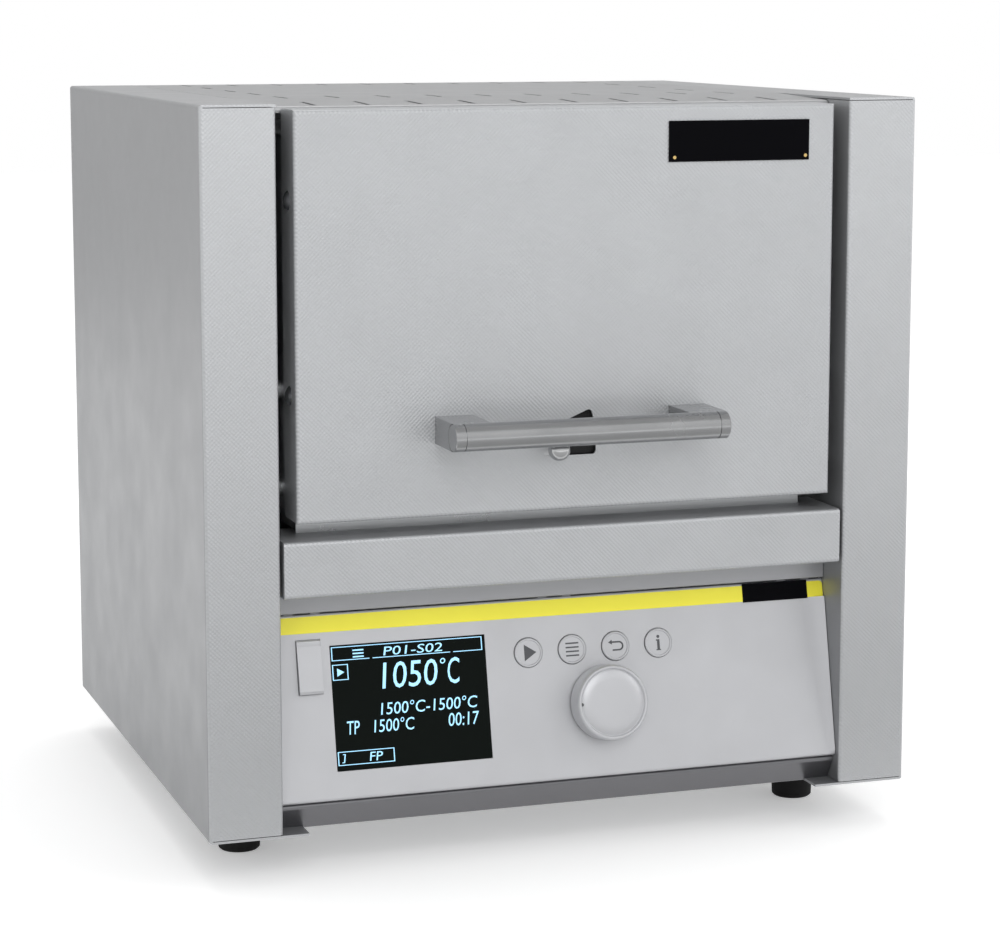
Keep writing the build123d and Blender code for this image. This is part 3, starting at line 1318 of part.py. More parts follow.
def build_parts():
    """Every piece by the name of its node."""
    parts = {
        "side_panel_left": side_panel(),
        "side_panel_right": mirrored(side_panel()),
        "top_cover": top_cover(),
        "rear_panel": rear_panel(),
        "base_pan": base_pan(),
        "feet": feet(),
        "front_fascia": front_fascia(),
        "lower_strip": lower_strip(),
        "console_housing": console_housing(),
        "console_face": console_face(),
        "accent_stripe": accent_stripe(),
        "display_lens": display_lens(),
        "display_module": display_module(),
        "controller_board": controller_board(),
        "encoder_body": encoder_body(),
        "encoder_plunger": encoder_plunger(),
        "encoder_shaft": encoder_shaft(),
        "jog_knob": jog_knob(),
        "usb_port": usb_port(),
        "usb_flap": usb_flap(),
        "inner_casing": inner_casing(),
        "front_frame": front_frame(),
        "insulation_collar": insulation_collar(),
        "insulation_floor": insulation_floor(),
        "insulation_roof": insulation_roof(),
        "insulation_rear": insulation_rear(),
        "insulation_walls": Part() + [insulation_wall(), mirrored(insulation_wall())],
        "heating_plates": Part() + [heating_plate(), mirrored(heating_plate())],
        "heater_windings": heater_windings(),
        "heater_leads": heater_leads(),
        "hearth_plate": hearth_plate(),
        "thermocouple": thermocouple(),
        "exhaust_tube": exhaust_tube(),
        "exhaust_outlet": exhaust_outlet(),
        "terminal_block": terminal_block(),
        "casing_supports": casing_supports(),
        "relay": relay(),
        "pivot_frames": Part() + [pivot_frame(), mirrored(pivot_frame())],
        "frame_pins": frame_pins(),
        "door_shell": door_shell(),
        "door_insulation": door_insulation(),
        "door_inner_frame": door_inner_frame(),
        "door_plug": door_plug(),
        "handle_bar": handle_bar(),
        "handle_mounts": Part() + [handle_mount(), mirrored(handle_mount())],
        "air_slide": air_slide(),
        "air_knob": air_knob(),
        "door_carriers": Part() + [door_carrier(), mirrored(door_carrier())],
        "door_bolts": door_bolts(),
        "carrier_pins": carrier_pins(),
        "power_inlet": Part() + [power_inlet()] + inlet_pins(),
        "switch_body": switch_body(),
        "switch_rocker": switch_rocker(),
        "rear_screws": rear_screws(),
    }
    for name, x in zip(KEY_NAMES, key_places()):
        parts[name] = face_key(x)
    upper = swing_arm(LIFT_Z, UPPER_CARRIER_Z, RUNNING)
    lower = swing_arm(LIFT_Z - ARM_SPACING, LOWER_CARRIER_Z, OPEN_PIVOT)
    parts["upper_arms"] = Part() + [upper, mirrored(upper)]
    parts["lower_arms"] = Part() + [lower, mirrored(lower)]
    return parts


def metres(x, y, z):
    """A place in the finished frame, in metres, as text."""
    return ", ".join(f"{value / 1000:.5f}" for value in (x, y + SHIFT_Y, z))


def print_places():
    """Prints the joint places that the furnace's description needs."""
    print("upper frame pivot", metres(0, LIFT_Y, LIFT_Z))
    print("lower frame pivot", metres(0, LIFT_Y, LIFT_Z - ARM_SPACING))
    print("upper carrier pivot", metres(0, CARRIER_PIVOT_Y, UPPER_CARRIER_Z))
    print("knob axis", metres(KNOB_X, face_y(KNOB_HEIGHT), face_z(KNOB_HEIGHT)))
    hinge = FLAP_TOP - FLAP_HINGE_DROP
    print("flap hinge", metres(FLAP_X, face_y(hinge, 0.1), face_z(hinge, 0.1)))
    print("rocker axis", metres(SWITCH_X, ROCKER_Y, FITTING_Z))
    print("outlet end", metres(0, HOUSING_DEPTH + OUTLET_REACH, EXHAUST_Z))


def main():
    """Builds and writes every piece."""
    os.makedirs("parts", exist_ok=True)
    for name, piece in build_parts().items():
        export_step(Pos(0, SHIFT_Y, 0) * piece, f"parts/{name}.step")
    print_places()


main()
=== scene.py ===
"""Looks of a benchtop muffle furnace with a lift door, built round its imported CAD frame."""

import json
import logging
import math
from dataclasses import dataclass, field
from enum import Enum

import bpy
from mathutils import Matrix, Vector


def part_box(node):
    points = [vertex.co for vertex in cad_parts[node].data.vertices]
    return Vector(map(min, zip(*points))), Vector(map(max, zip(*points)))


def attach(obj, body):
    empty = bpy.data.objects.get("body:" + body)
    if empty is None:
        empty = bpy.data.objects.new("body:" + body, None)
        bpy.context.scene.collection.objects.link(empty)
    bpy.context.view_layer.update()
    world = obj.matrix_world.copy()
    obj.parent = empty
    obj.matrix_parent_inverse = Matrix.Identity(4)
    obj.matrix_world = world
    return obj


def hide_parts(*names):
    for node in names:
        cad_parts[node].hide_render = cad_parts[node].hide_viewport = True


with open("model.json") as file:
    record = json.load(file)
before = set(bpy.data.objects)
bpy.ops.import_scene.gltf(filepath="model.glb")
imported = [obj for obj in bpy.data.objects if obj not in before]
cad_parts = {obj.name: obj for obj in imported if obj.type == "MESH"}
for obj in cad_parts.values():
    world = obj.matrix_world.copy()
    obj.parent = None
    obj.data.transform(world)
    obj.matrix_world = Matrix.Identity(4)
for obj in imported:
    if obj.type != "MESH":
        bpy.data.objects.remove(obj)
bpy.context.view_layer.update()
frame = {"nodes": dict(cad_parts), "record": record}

LOG = logging.getLogger("furnace")
MM = 0.001


class Slot(Enum):
    """Material slots of the record."""

    STAINLESS = "stainless"
    TEXTURED = "textured_stainless"
    DARK = "dark_stainless"
    POLISHED = "polished_steel"
    ZINC = "zinc_steel"
    MOULDING = "light_grey_plastic"
    FILM = "yellow_film"
    GLASS = "display_glass"
    BLACK = "black_plastic"
    BOARD = "circuit_board"
    BRASS = "brass"
    RUBBER = "rubber"
    FIBRE = "fibre_insulation"
    CERAMIC = "ceramic"
    RED = "red_plastic"


class Pattern(Enum):
    """Surface pattern of a finish."""

    BRUSHED = "brushed"
    LINEN = "linen"
    GRAINY = "grainy"
    FIBROUS = "fibrous"
    # Linen dimples, with painted shade that darkens the panel towards its foot.
    PAINTED_SHADE_PANEL = "panel"


@dataclass(frozen=True)
class Finish:
    """One finish: its colour, gloss and pattern.

    Args:
        name: Name of the material.
        colour: Linear base colour.
        metallic: Share of metal.
        roughness: Middle roughness.
        pattern: Surface pattern.
        relief: Strength of the bump.
        highlight: How far edges brighten, as a painted highlight.
        coat: Weight of the clear coat.
        specular: Level of the surface reflection.
    """

    name: str
    colour: tuple[float, float, float]
    metallic: float = 0.0
    roughness: float = 0.45
    pattern: Pattern = Pattern.GRAINY
    relief: float = 0.1
    wear: float = 0.1
    coat: float = 0.0
    specular: float = 0.5


FINISHES: dict[Slot, Finish] = {
    Slot.STAINLESS: Finish(
        "brushed stainless", (0.52, 0.53, 0.54), 0.85, 0.30, Pattern.BRUSHED, 0.10, 0.25
    ),
    Slot.TEXTURED: Finish(
        "linen stainless", (0.50, 0.51, 0.525), 0.55, 0.40, Pattern.LINEN, 0.30, 0.25
    ),
    Slot.DARK: Finish("dark stainless", (0.19, 0.19, 0.20), 0.85, 0.32, Pattern.BRUSHED, 0.12, 0.15),
    Slot.POLISHED: Finish("polished steel", (0.68, 0.69, 0.70), 1.0, 0.12, Pattern.GRAINY, 0.02, 0.05),
    Slot.ZINC: Finish("zinc plated steel", (0.50, 0.51, 0.52), 0.9, 0.38, Pattern.GRAINY, 0.10, 0.15),
    Slot.MOULDING: Finish(
        "silver moulding", (0.53, 0.535, 0.555), 0.35, 0.36, Pattern.GRAINY, 0.03, 0.10, 0.15
    ),
    Slot.FILM: Finish("yellow film", (0.97, 0.89, 0.05), 0.0, 0.35, Pattern.GRAINY, 0.02, 0.0, 0.2),
    Slot.GLASS: Finish(
        "display window", (0.006, 0.008, 0.007), 0.0, 0.16, Pattern.GRAINY, 0.01, 0.0, 0.0, 0.03
    ),
    Slot.BLACK: Finish(
        "black moulding", (0.012, 0.012, 0.013), 0.0, 0.42, Pattern.GRAINY, 0.10, 0.04, 0.0, 0.25
    ),
    Slot.BOARD: Finish("circuit board", (0.015, 0.11, 0.04), 0.0, 0.40, Pattern.GRAINY, 0.15, 0.05),
    Slot.BRASS: Finish("brass", (0.70, 0.50, 0.20), 1.0, 0.30, Pattern.GRAINY, 0.05, 0.1),
    Slot.RUBBER: Finish(
        "black rubber", (0.015, 0.015, 0.015), 0.0, 0.75, Pattern.GRAINY, 0.20, 0.03, 0.0, 0.2
    ),
    Slot.FIBRE: Finish("fibre board", (0.82, 0.80, 0.75), 0.0, 0.95, Pattern.FIBROUS, 0.60, 0.04),
    Slot.CERAMIC: Finish("fired ceramic", (0.66, 0.59, 0.47), 0.0, 0.80, Pattern.FIBROUS, 0.25, 0.05),
    Slot.RED: Finish("red moulding", (0.45, 0.02, 0.015), 0.0, 0.30, Pattern.GRAINY, 0.05, 0.05, 0.2),
}
# Side panels: linen steel with painted shade, darker towards the floor.
SIDE_PANEL_PAINTED_SHADE = Finish("side panel sheet", (0.54, 0.55, 0.565), 0.55, 0.40, Pattern.PAINTED_SHADE_PANEL, 0.30, 0.30)
# Top cover: a darker copy of brushed stainless, painted shade for the dim rear that it reflects.
TOP_SHEET_PAINTED_SHADE = Finish("top cover sheet", (0.47, 0.475, 0.485), 0.75, 0.36, Pattern.BRUSHED, 0.10, 0.25)
# Handle bar and mounts: a darker copy of stainless steel, painted shade for the dark reflections on the
# bar.
HANDLE_STEEL_PAINTED_SHADE = Finish("handle steel", (0.36, 0.365, 0.37), 0.95, 0.24, Pattern.BRUSHED, 0.10, 0.35)
BAND_MOULDING = Finish(
    "band moulding", (0.40, 0.405, 0.42), 0.35, 0.36, Pattern.GRAINY, 0.03, 0.10, 0.1
)
BALL_STEEL = Finish("ball steel", (0.50, 0.505, 0.51), 1.0, 0.14, Pattern.GRAINY, 0.02, 0.0)
PLATE_BLACK = Finish(
    "anodised plate", (0.004, 0.004, 0.005), 0.0, 0.35, Pattern.BRUSHED, 0.04, 0.0, 0.0, 0.01
)
INK = Finish("key ink", (0.075, 0.078, 0.085), 0.0, 0.55, Pattern.GRAINY, 0.02, 0.0)
COIL_WIRE = Finish("oxidised coil wire", (0.16, 0.14, 0.13), 0.6, 0.6, Pattern.GRAINY, 0.15, 0.05)


def rgba(colour: tuple[float, float, float], share: float = 1.0, lift: float = 0.0) -> tuple[float, ...]:
    """Gives a colour full alpha, darker or brighter than it is.

    Args:
        colour: Linear colour.
        share: Factor on each part.
        lift: Added to each part.

    Returns:
        The four parts, none above 1.
    """
    return (*(min(1.0, part * share + lift) for part in colour), 1.0)


class Graph:
    """Short way to add and link shader nodes.

    Args:
        tree: The node tree to fill.
    """

    def __init__(self, tree: bpy.types.NodeTree) -> None:
        """Keeps the tree to fill."""
        self.tree = tree

    def node(
        self, kind: str, links: dict[str | int, object] | None = None, **settings: object
    ) -> bpy.types.Node:
        """Adds a node.

        Args:
            kind: Node type.
            links: Input name or number to a value or an output socket.
            settings: Properties of the node.

        Returns:
            The new node.
        """
        made = self.tree.nodes.new(kind)
        for key, value in settings.items():
            setattr(made, key, value)  # a group's sockets exist only once its tree is set
        for key, value in (links or {}).items():
            if isinstance(value, bpy.types.NodeSocket):
                self.tree.links.new(value, made.inputs[key])
            else:
                made.inputs[key].default_value = value
        return made

    def math(self, operation: str, first: object, second: object = 0.0) -> bpy.types.NodeSocket:
        """Adds a math node.

        Args:
            operation: Math operation.
            first: First value or socket.
            second: Second value or socket.

        Returns:
            The result socket.
        """
        return self.node("ShaderNodeMath", {0: first, 1: second}, operation=operation).outputs[0]

    def tint(self, factor: object, first: object, second: object) -> bpy.types.NodeSocket:
        """Mixes two colours.

        Args:
            factor: Share of the second colour.
            first: First colour or socket.
            second: Second colour or socket.

        Returns:
            The mixed colour.
        """
        mix = self.node("ShaderNodeMix", {"Factor": factor}, data_type="RGBA")
        for name, value in (("A", first), ("B", second)):
            socket = [s for s in mix.inputs if s.name == name and s.type == "RGBA"][0]
            if isinstance(value, bpy.types.NodeSocket):
                self.tree.links.new(value, socket)
            else:
                socket.default_value = value
        return [s for s in mix.outputs if s.type == "RGBA"][0]


class Effects:
    """Shader node groups that several finishes share."""

    brush_scale: tuple[float, float, float] = (9.0, 900.0, 900.0)
    dust_scale: float = 38.0
    fibre_scale: float = 420.0

    def __init__(self) -> None:
        """Builds every group once."""
        self.grain = self._grain()
        self.linen = self._linen()
        self.wear = self._highlight()
        self.dust = self._noise("dust", self.dust_scale, 5.0)
        self.fibre = self._noise("fibre", self.fibre_scale, 6.0)

    @staticmethod
    def _group(
        name: str, inputs: tuple[tuple[str, str], ...], output: str
    ) -> tuple[bpy.types.NodeTree, Graph, bpy.types.Node, bpy.types.Node]:
        """Starts a node group.

        Args:
            name: Name of the group.
            inputs: Names and socket types of its inputs.
            output: Name of its value output.

        Returns:
            The group, its graph, its input node and its output node.
        """
        tree = bpy.data.node_groups.new(name, "ShaderNodeTree")
        for label, kind in inputs:
            tree.interface.new_socket(name=label, in_out="INPUT", socket_type=kind)
        tree.interface.new_socket(name=output, in_out="OUTPUT", socket_type="NodeSocketFloat")
        graph = Graph(tree)
        return tree, graph, graph.node("NodeGroupInput"), graph.node("NodeGroupOutput")

    def _grain(self) -> bpy.types.NodeTree:
        """Fine lines along X, as a brush leaves them.

        Returns:
            The group.
        """
        tree, graph, entry, leave = self._group("brushed grain", (("Vector", "NodeSocketVector"),), "Grain")
        stretch = {0: entry.outputs[0], 1: self.brush_scale}
        wide = graph.node("ShaderNodeVectorMath", stretch, operation="MULTIPLY")
        lines = graph.node("ShaderNodeTexNoise", {"Vector": wide.outputs[0], "Scale": 1.0, "Detail": 3.0})
        tree.links.new(lines.outputs[0], leave.inputs[0])
        return tree

    def _linen(self) -> bpy.types.NodeTree:
        """Rolled diamond dimples, alike on front and side faces.

        Returns:
            The group.
        """
        tree, graph, entry, leave = self._group(
            "linen dimple", (("Vector", "NodeSocketVector"), ("Pitch", "NodeSocketFloat")), "Height"
        )
        parts = graph.node("ShaderNodeSeparateXYZ", {0: entry.outputs[0]})
        across = graph.math("ADD", parts.outputs[0], parts.outputs[1])
        turn = graph.math("DIVIDE", 2.0 * math.pi, entry.outputs[1])
        columns = graph.math("SINE", graph.math("MULTIPLY", across, turn))
        rows = graph.math("SINE", graph.math("MULTIPLY", parts.outputs[2], turn))
        tree.links.new(graph.math("MULTIPLY", columns, rows), leave.inputs[0])
        return tree

    def _highlight(self) -> bpy.types.NodeTree:
        """Mask of the edges for a painted highlight, from a rounded normal against the true one.

        Returns:
            The group.
        """
        tree, graph, entry, leave = self._group("edge wear", (("Radius", "NodeSocketFloat"),), "Mask")
        soft = graph.node("ShaderNodeBevel", {"Radius": entry.outputs[0]}, samples=4)
        true = graph.node("ShaderNodeNewGeometry")
        pair = {0: soft.outputs[0], 1: true.outputs["Normal"]}
        dot = graph.node("ShaderNodeVectorMath", pair, operation="DOT_PRODUCT")
        fade = {"Value": dot.outputs["Value"], 1: 0.995, 2: 0.85, 3: 0.0, 4: 1.0}
        mask = graph.node("ShaderNodeMapRange", fade)
        tree.links.new(mask.outputs[0], leave.inputs[0])
        return tree

    def _noise(self, name: str, scale: float, detail: float) -> bpy.types.NodeTree:
        """Soft cloudy values.

        Args:
            name: Name of the group.
            scale: Scale of the noise.
            detail: Detail of the noise.

        Returns:
            The group.
        """
        tree, graph, entry, leave = self._group(name, (("Vector", "NodeSocketVector"),), "Mask")
        values = {"Vector": entry.outputs[0], "Scale": scale, "Detail": detail}
        cloud = graph.node("ShaderNodeTexNoise", values)
        tree.links.new(cloud.outputs[0], leave.inputs[0])
        return tree


class Palette:
    """Materials made from the finishes, each once."""

    dimple_pitch: float = 0.0022
    highlight_radius: float = 0.0008
    bump_depth: float = 0.0003
    # Painted shade: side faces ramp from a dark foot to a lighter head, and front faces darken towards the
    # foot, between these heights in metres.
    side_painted_shade_foot: tuple[float, float, float] = (0.26, 0.265, 0.275)
    side_painted_shade_head: tuple[float, float, float] = (0.44, 0.445, 0.455)
    front_painted_shade_share: float = 0.78
    painted_shade_rise: tuple[float, float] = (0.02, 0.39)

    def __init__(self) -> None:
        """Builds the effects, and starts without materials."""
        self.effects = Effects()
        self.made: dict[str, bpy.types.Material] = {}

    def get(self, finish: Finish) -> bpy.types.Material:
        """Material of a finish.

        Args:
            finish: The finish.

        Returns:
            The material, made on first use.
        """
        if finish.name not in self.made:
            self.made[finish.name] = self._make(finish)
        return self.made[finish.name]

    def _make(self, finish: Finish) -> bpy.types.Material:
        """Builds the node tree of a finish.

        Args:
            finish: The finish.

        Returns:
            The new material.
        """
        material = bpy.data.materials.new(finish.name)
        material.use_nodes = True
        graph = Graph(material.node_tree)
        body = material.node_tree.nodes["Principled BSDF"]
        links = material.node_tree.links
        coords = graph.node("ShaderNodeTexCoord")
        place = coords.outputs["Object"]
        dust = self._use(graph, self.effects.dust, {0: place})
        # Painted highlight: edges brighten towards a lighter copy of the colour.
        wear = self._use(graph, self.effects.wear, {0: self.highlight_radius})
        colour = graph.tint(dust, rgba(finish.colour, 0.90), rgba(finish.colour))
        highlight_colour = rgba(finish.colour, 1.35, 0.03)
        height, rough = self._pattern(graph, finish, place)
        # Panels get painted shade, darker towards the foot.
        if finish.pattern is Pattern.PAINTED_SHADE_PANEL:
            colour, height = self._paint_panel_shade(graph, finish, coords, colour, height)
        amount = graph.math("MULTIPLY", wear, finish.wear)
        links.new(graph.tint(amount, colour, highlight_colour), body.inputs["Base Color"])
        links.new(rough, body.inputs["Roughness"])
        body.inputs["Metallic"].default_value = finish.metallic
        body.inputs["Coat Weight"].default_value = finish.coat
        body.inputs["Specular IOR Level"].default_value = finish.specular
        relief = {"Height": height, "Strength": finish.relief, "Distance": self.bump_depth}
        bump = graph.node("ShaderNodeBump", relief)
        links.new(bump.outputs[0], body.inputs["Normal"])
        return material

    def _paint_panel_shade(
        self,
        graph: Graph,
        finish: Finish,
        coords: bpy.types.Node,
        colour: bpy.types.NodeSocket,
        height: bpy.types.NodeSocket,
    ) -> tuple[bpy.types.NodeSocket, bpy.types.NodeSocket]:
        """Paints shade on a panel, darker towards its foot, and leaves its side face without relief.

        Args:
            graph: Graph of the material.
            finish: The finish.
            coords: Texture coordinates.
            colour: Colour so far.
            height: Relief so far.

        Returns:
            Colour and height sockets.
        """
        normal = graph.node("ShaderNodeSeparateXYZ", {0: coords.outputs["Normal"]})
        side = graph.math("LESS_THAN", graph.math("ABSOLUTE", normal.outputs[1]), 0.5)
        tall = graph.node("ShaderNodeSeparateXYZ", {0: coords.outputs["Object"]})
        low, high = self.painted_shade_rise
        ramp = {"Value": tall.outputs[2], 1: low, 2: high, 3: 0.0, 4: 1.0}
        painted_shade_rise = graph.node("ShaderNodeMapRange", ramp).outputs[0]
        # Painted shade: dark foot to lighter head on side faces, darker foot on front faces.
        plain = graph.tint(painted_shade_rise, rgba(self.side_painted_shade_foot), rgba(self.side_painted_shade_head))
        front = graph.tint(painted_shade_rise, rgba(finish.colour, self.front_painted_shade_share), colour)
        flat = graph.math("SUBTRACT", 1.0, side)
        return graph.tint(side, front, plain), graph.math("MULTIPLY", height, flat)

    @staticmethod
    def _use(graph: Graph, tree: bpy.types.NodeTree, values: dict[int, object]) -> bpy.types.NodeSocket:
        """Places a group in a material.

        Args:
            graph: Graph of the material.
            tree: The group.
            values: Input number to a value or socket.

        Returns:
            The group's output.
        """
        return graph.node("ShaderNodeGroup", values, node_tree=tree).outputs[0]

    def _pattern(
        self, graph: Graph, finish: Finish, place: bpy.types.NodeSocket
    ) -> tuple[bpy.types.NodeSocket, bpy.types.NodeSocket]:
        """Relief and roughness of a finish's pattern.

        Args:
            graph: Graph of the material.
            finish: The finish.
            place: Object coordinates.

        Returns:
            Height and roughness sockets.
        """
        if finish.pattern in (Pattern.LINEN, Pattern.PAINTED_SHADE_PANEL):
            height = self._use(graph, self.effects.linen, {0: place, 1: self.dimple_pitch})
        elif finish.pattern is Pattern.BRUSHED:
            height = self._use(graph, self.effects.grain, {0: place})
        else:
            height = self._use(graph, self.effects.fibre, {0: place})
        smear = self._use(graph, self.effects.dust, {0: place})
        smooth, dull = finish.roughness - 0.04, finish.roughness + 0.05
        spread = graph.node("ShaderNodeMapRange", {"Value": smear, 1: 0.3, 2: 0.7, 3: smooth, 4: dull})
        return height, spread.outputs[0]

    def glow(self, name: str, colour: tuple[float, float, float], power: float) -> bpy.types.Material:
        """Lit display segments.

        Args:
            name: Name of the material.
            colour: Linear colour.
            power: Emission strength.

        Returns:
            The material.
        """
        material = self._make(Finish(name, colour, 0.0, 0.4, Pattern.GRAINY, 0.0, 0.0))
        graph = Graph(material.node_tree)
        body = material.node_tree.nodes["Principled BSDF"]
        place = graph.node("ShaderNodeTexCoord").outputs["Object"]
        cloud = self._use(graph, self.effects.dust, {0: place})
        shown = graph.tint(cloud, rgba(colour, 0.9), rgba(colour))
        material.node_tree.links.new(shown, body.inputs["Emission Color"])
        body.inputs["Emission Strength"].default_value = power
        body.inputs["Base Color"].default_value = (0.02, 0.03, 0.04, 1.0)
        return material


class Shape:
    """Mesh drawn from bars, prisms, tubes, turned forms and lettering."""

    slant: float = 0.12
    crease: float = math.radians(32.0)
    wire_tilt: Vector = Vector((0.31, 0.2, 0.93))

    def __init__(self) -> None:
        """Starts without points and faces."""
        self.points: list[Vector] = []
        self.faces: list[tuple[int, ...]] = []

    def prism(self, outline: list[tuple[float, float]], low: float, high: float) -> "Shape":
        """Adds a flat outline run from one height to another.

        Args:
            outline: Corners in order, against the clock.
            low: Lower height.
            high: Upper height.

        Returns:
            The shape itself.
        """
        count = len(outline)
        first = len(self.points)
        self.points += [Vector((x, y, low)) for x, y in outline]
        self.points += [Vector((x, y, high)) for x, y in outline]
        self.faces.append(tuple(first + i for i in reversed(range(count))))
        self.faces.append(tuple(first + count + i for i in range(count)))
        for i in range(count):
            j = (i + 1) % count
            self.faces.append((first + i, first + j, first + count + j, first + count + i))
        return self

    def bar(self, x0: float, x1: float, y0: float, y1: float, low: float, high: float) -> "Shape":
        """Adds a square bar.

        Args:
            x0: Left end.
            x1: Right end.
            y0: Lower side.
            y1: Upper side.
            low: Lower height.
            high: Upper height.

        Returns:
            The shape itself.
        """
        return self.prism([(x0, y0), (x1, y0), (x1, y1), (x0, y1)], low, high)

    def disc(self, x: float, y: float, radius: float, low: float, high: float, sides: int = 28) -> "Shape":
        """Adds a round plate.

        Args:
            x: Middle across.
            y: Middle up.
            radius: Its radius.
            low: Lower height.
            high: Upper height.
            sides: Number of sides.

        Returns:
            The shape itself.
        """
        turns = [2.0 * math.pi * i / sides for i in range(sides)]
        return self.prism([(x + radius * math.cos(t), y + radius * math.sin(t)) for t in turns], low, high)

    def tube(self, path: list[Vector], radius: float, sides: int = 6) -> "Shape":
        """Adds a wire along a path.

        Args:
            path: Points of its middle.
            radius: Radius of the wire.
            sides: Number of sides.

        Returns:
            The shape itself.
        """
        first = len(self.points)
        for index, point in enumerate(path):
            ahead = path[min(index + 1, len(path) - 1)] - path[max(index - 1, 0)]
            across = ahead.cross(self.wire_tilt).normalized()
            up = across.cross(ahead).normalized()
            for side in range(sides):
                turn = 2.0 * math.pi * side / sides
                self.points.append(point + radius * (math.cos(turn) * across + math.sin(turn) * up))
        for index in range(len(path) - 1):
            ring = first + index * sides
            for side in range(sides):
                nxt = (side + 1) % sides
                self.faces.append((ring + side, ring + nxt, ring + sides + nxt, ring + sides + side))
        last = first + (len(path) - 1) * sides
        self.faces.append(tuple(first + side for side in reversed(range(sides))))
        self.faces.append(tuple(last + side for side in range(sides)))
        return self

    def turned(self, profile: list[tuple[float, float]], sides: int = 96) -> "Shape":
        """Adds a solid turned about the height axis.

        Args:
            profile: Radius and height of each corner, from the axis to the axis.
            sides: Number of sides.

        Returns:
            The shape itself.
        """
        first = len(self.points)
        self.points.append(Vector((0.0, 0.0, profile[0][1])))
        for radius, height in profile[1:-1]:
            for side in range(sides):
                turn = 2.0 * math.pi * side / sides
                self.points.append(Vector((radius * math.cos(turn), radius * math.sin(turn), height)))
        last = len(self.points)
        self.points.append(Vector((0.0, 0.0, profile[-1][1])))
        for side in range(sides):
            nxt = (side + 1) % sides
            self.faces.append((first, first + 1 + nxt, first + 1 + side))
            for ring in range(len(profile) - 3):
                lower = first + 1 + ring * sides
                upper = lower + sides
                self.faces.append((lower + side, lower + nxt, upper + nxt, upper + side))
            top = last - sides
            self.faces.append((top + side, top + nxt, last))
        return self

    def text(self, words: str, box: tuple[float, float, float, float], low: float, high: float) -> "Shape":
        """Adds slanted lettering stretched to fill a box.

        Args:
            words: What it reads.
            box: Left, right, lower and upper limits.
            low: Lower height.
            high: Upper height.

        Returns:
            The shape itself.
        """
        curve = bpy.data.curves.new("lettering", "FONT")
        curve.body = words
        curve.shear = self.slant
        curve.extrude = 0.5
        curve.resolution_u = 3
        holder = bpy.data.objects.new("lettering", curve)
        mesh = bpy.data.meshes.new_from_object(holder)
        xs = [v.co.x for v in mesh.vertices]
        ys = [v.co.y for v in mesh.vertices]
        wide = (box[1] - box[0]) / (max(xs) - min(xs))
        tall = (box[3] - box[2]) / (max(ys) - min(ys))
        first = len(self.points)
        for vertex in mesh.vertices:
            x = box[0] + (vertex.co.x - min(xs)) * wide
            y = box[2] + (vertex.co.y - min(ys)) * tall
            self.points.append(Vector((x, y, low if vertex.co.z < 0 else high)))
        self.faces += [tuple(first + i for i in polygon.vertices) for polygon in mesh.polygons]
        bpy.data.objects.remove(holder)
        bpy.data.meshes.remove(mesh)
        bpy.data.curves.remove(curve)
        return self

    def build(
        self,
        name: str,
        place: Matrix,
        material: bpy.types.Material,
        body: str,
        slot: Slot,
        bevel: float = 0.0,
    ) -> bpy.types.Object:
        """Turns the shape into a piece of the furnace.

        Args:
            name: Name of the piece.
            place: From millimetres of the shape to metres of the furnace.
            material: Its material.
            body: CAD body that it moves with.
            slot: Not used.
            bevel: Width of the softened edges in metres.

        Returns:
            The new object.
        """
        mesh = bpy.data.meshes.new(name)
        mesh.from_pydata([place @ point for point in self.points], [], self.faces)
        mesh.validate()
        mesh.shade_smooth()
        mesh.set_sharp_from_angle(angle=self.crease)
        mesh.materials.append(material)
        piece = bpy.data.objects.new(name, mesh)
        bpy.context.scene.collection.objects.link(piece)
        if bevel > 0.0:
            modifier = piece.modifiers.new("soft edges", "BEVEL")
            modifier.width = bevel
            modifier.segments = 2
        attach(piece, body)
        LOG.info("made %s", name)
        return piece


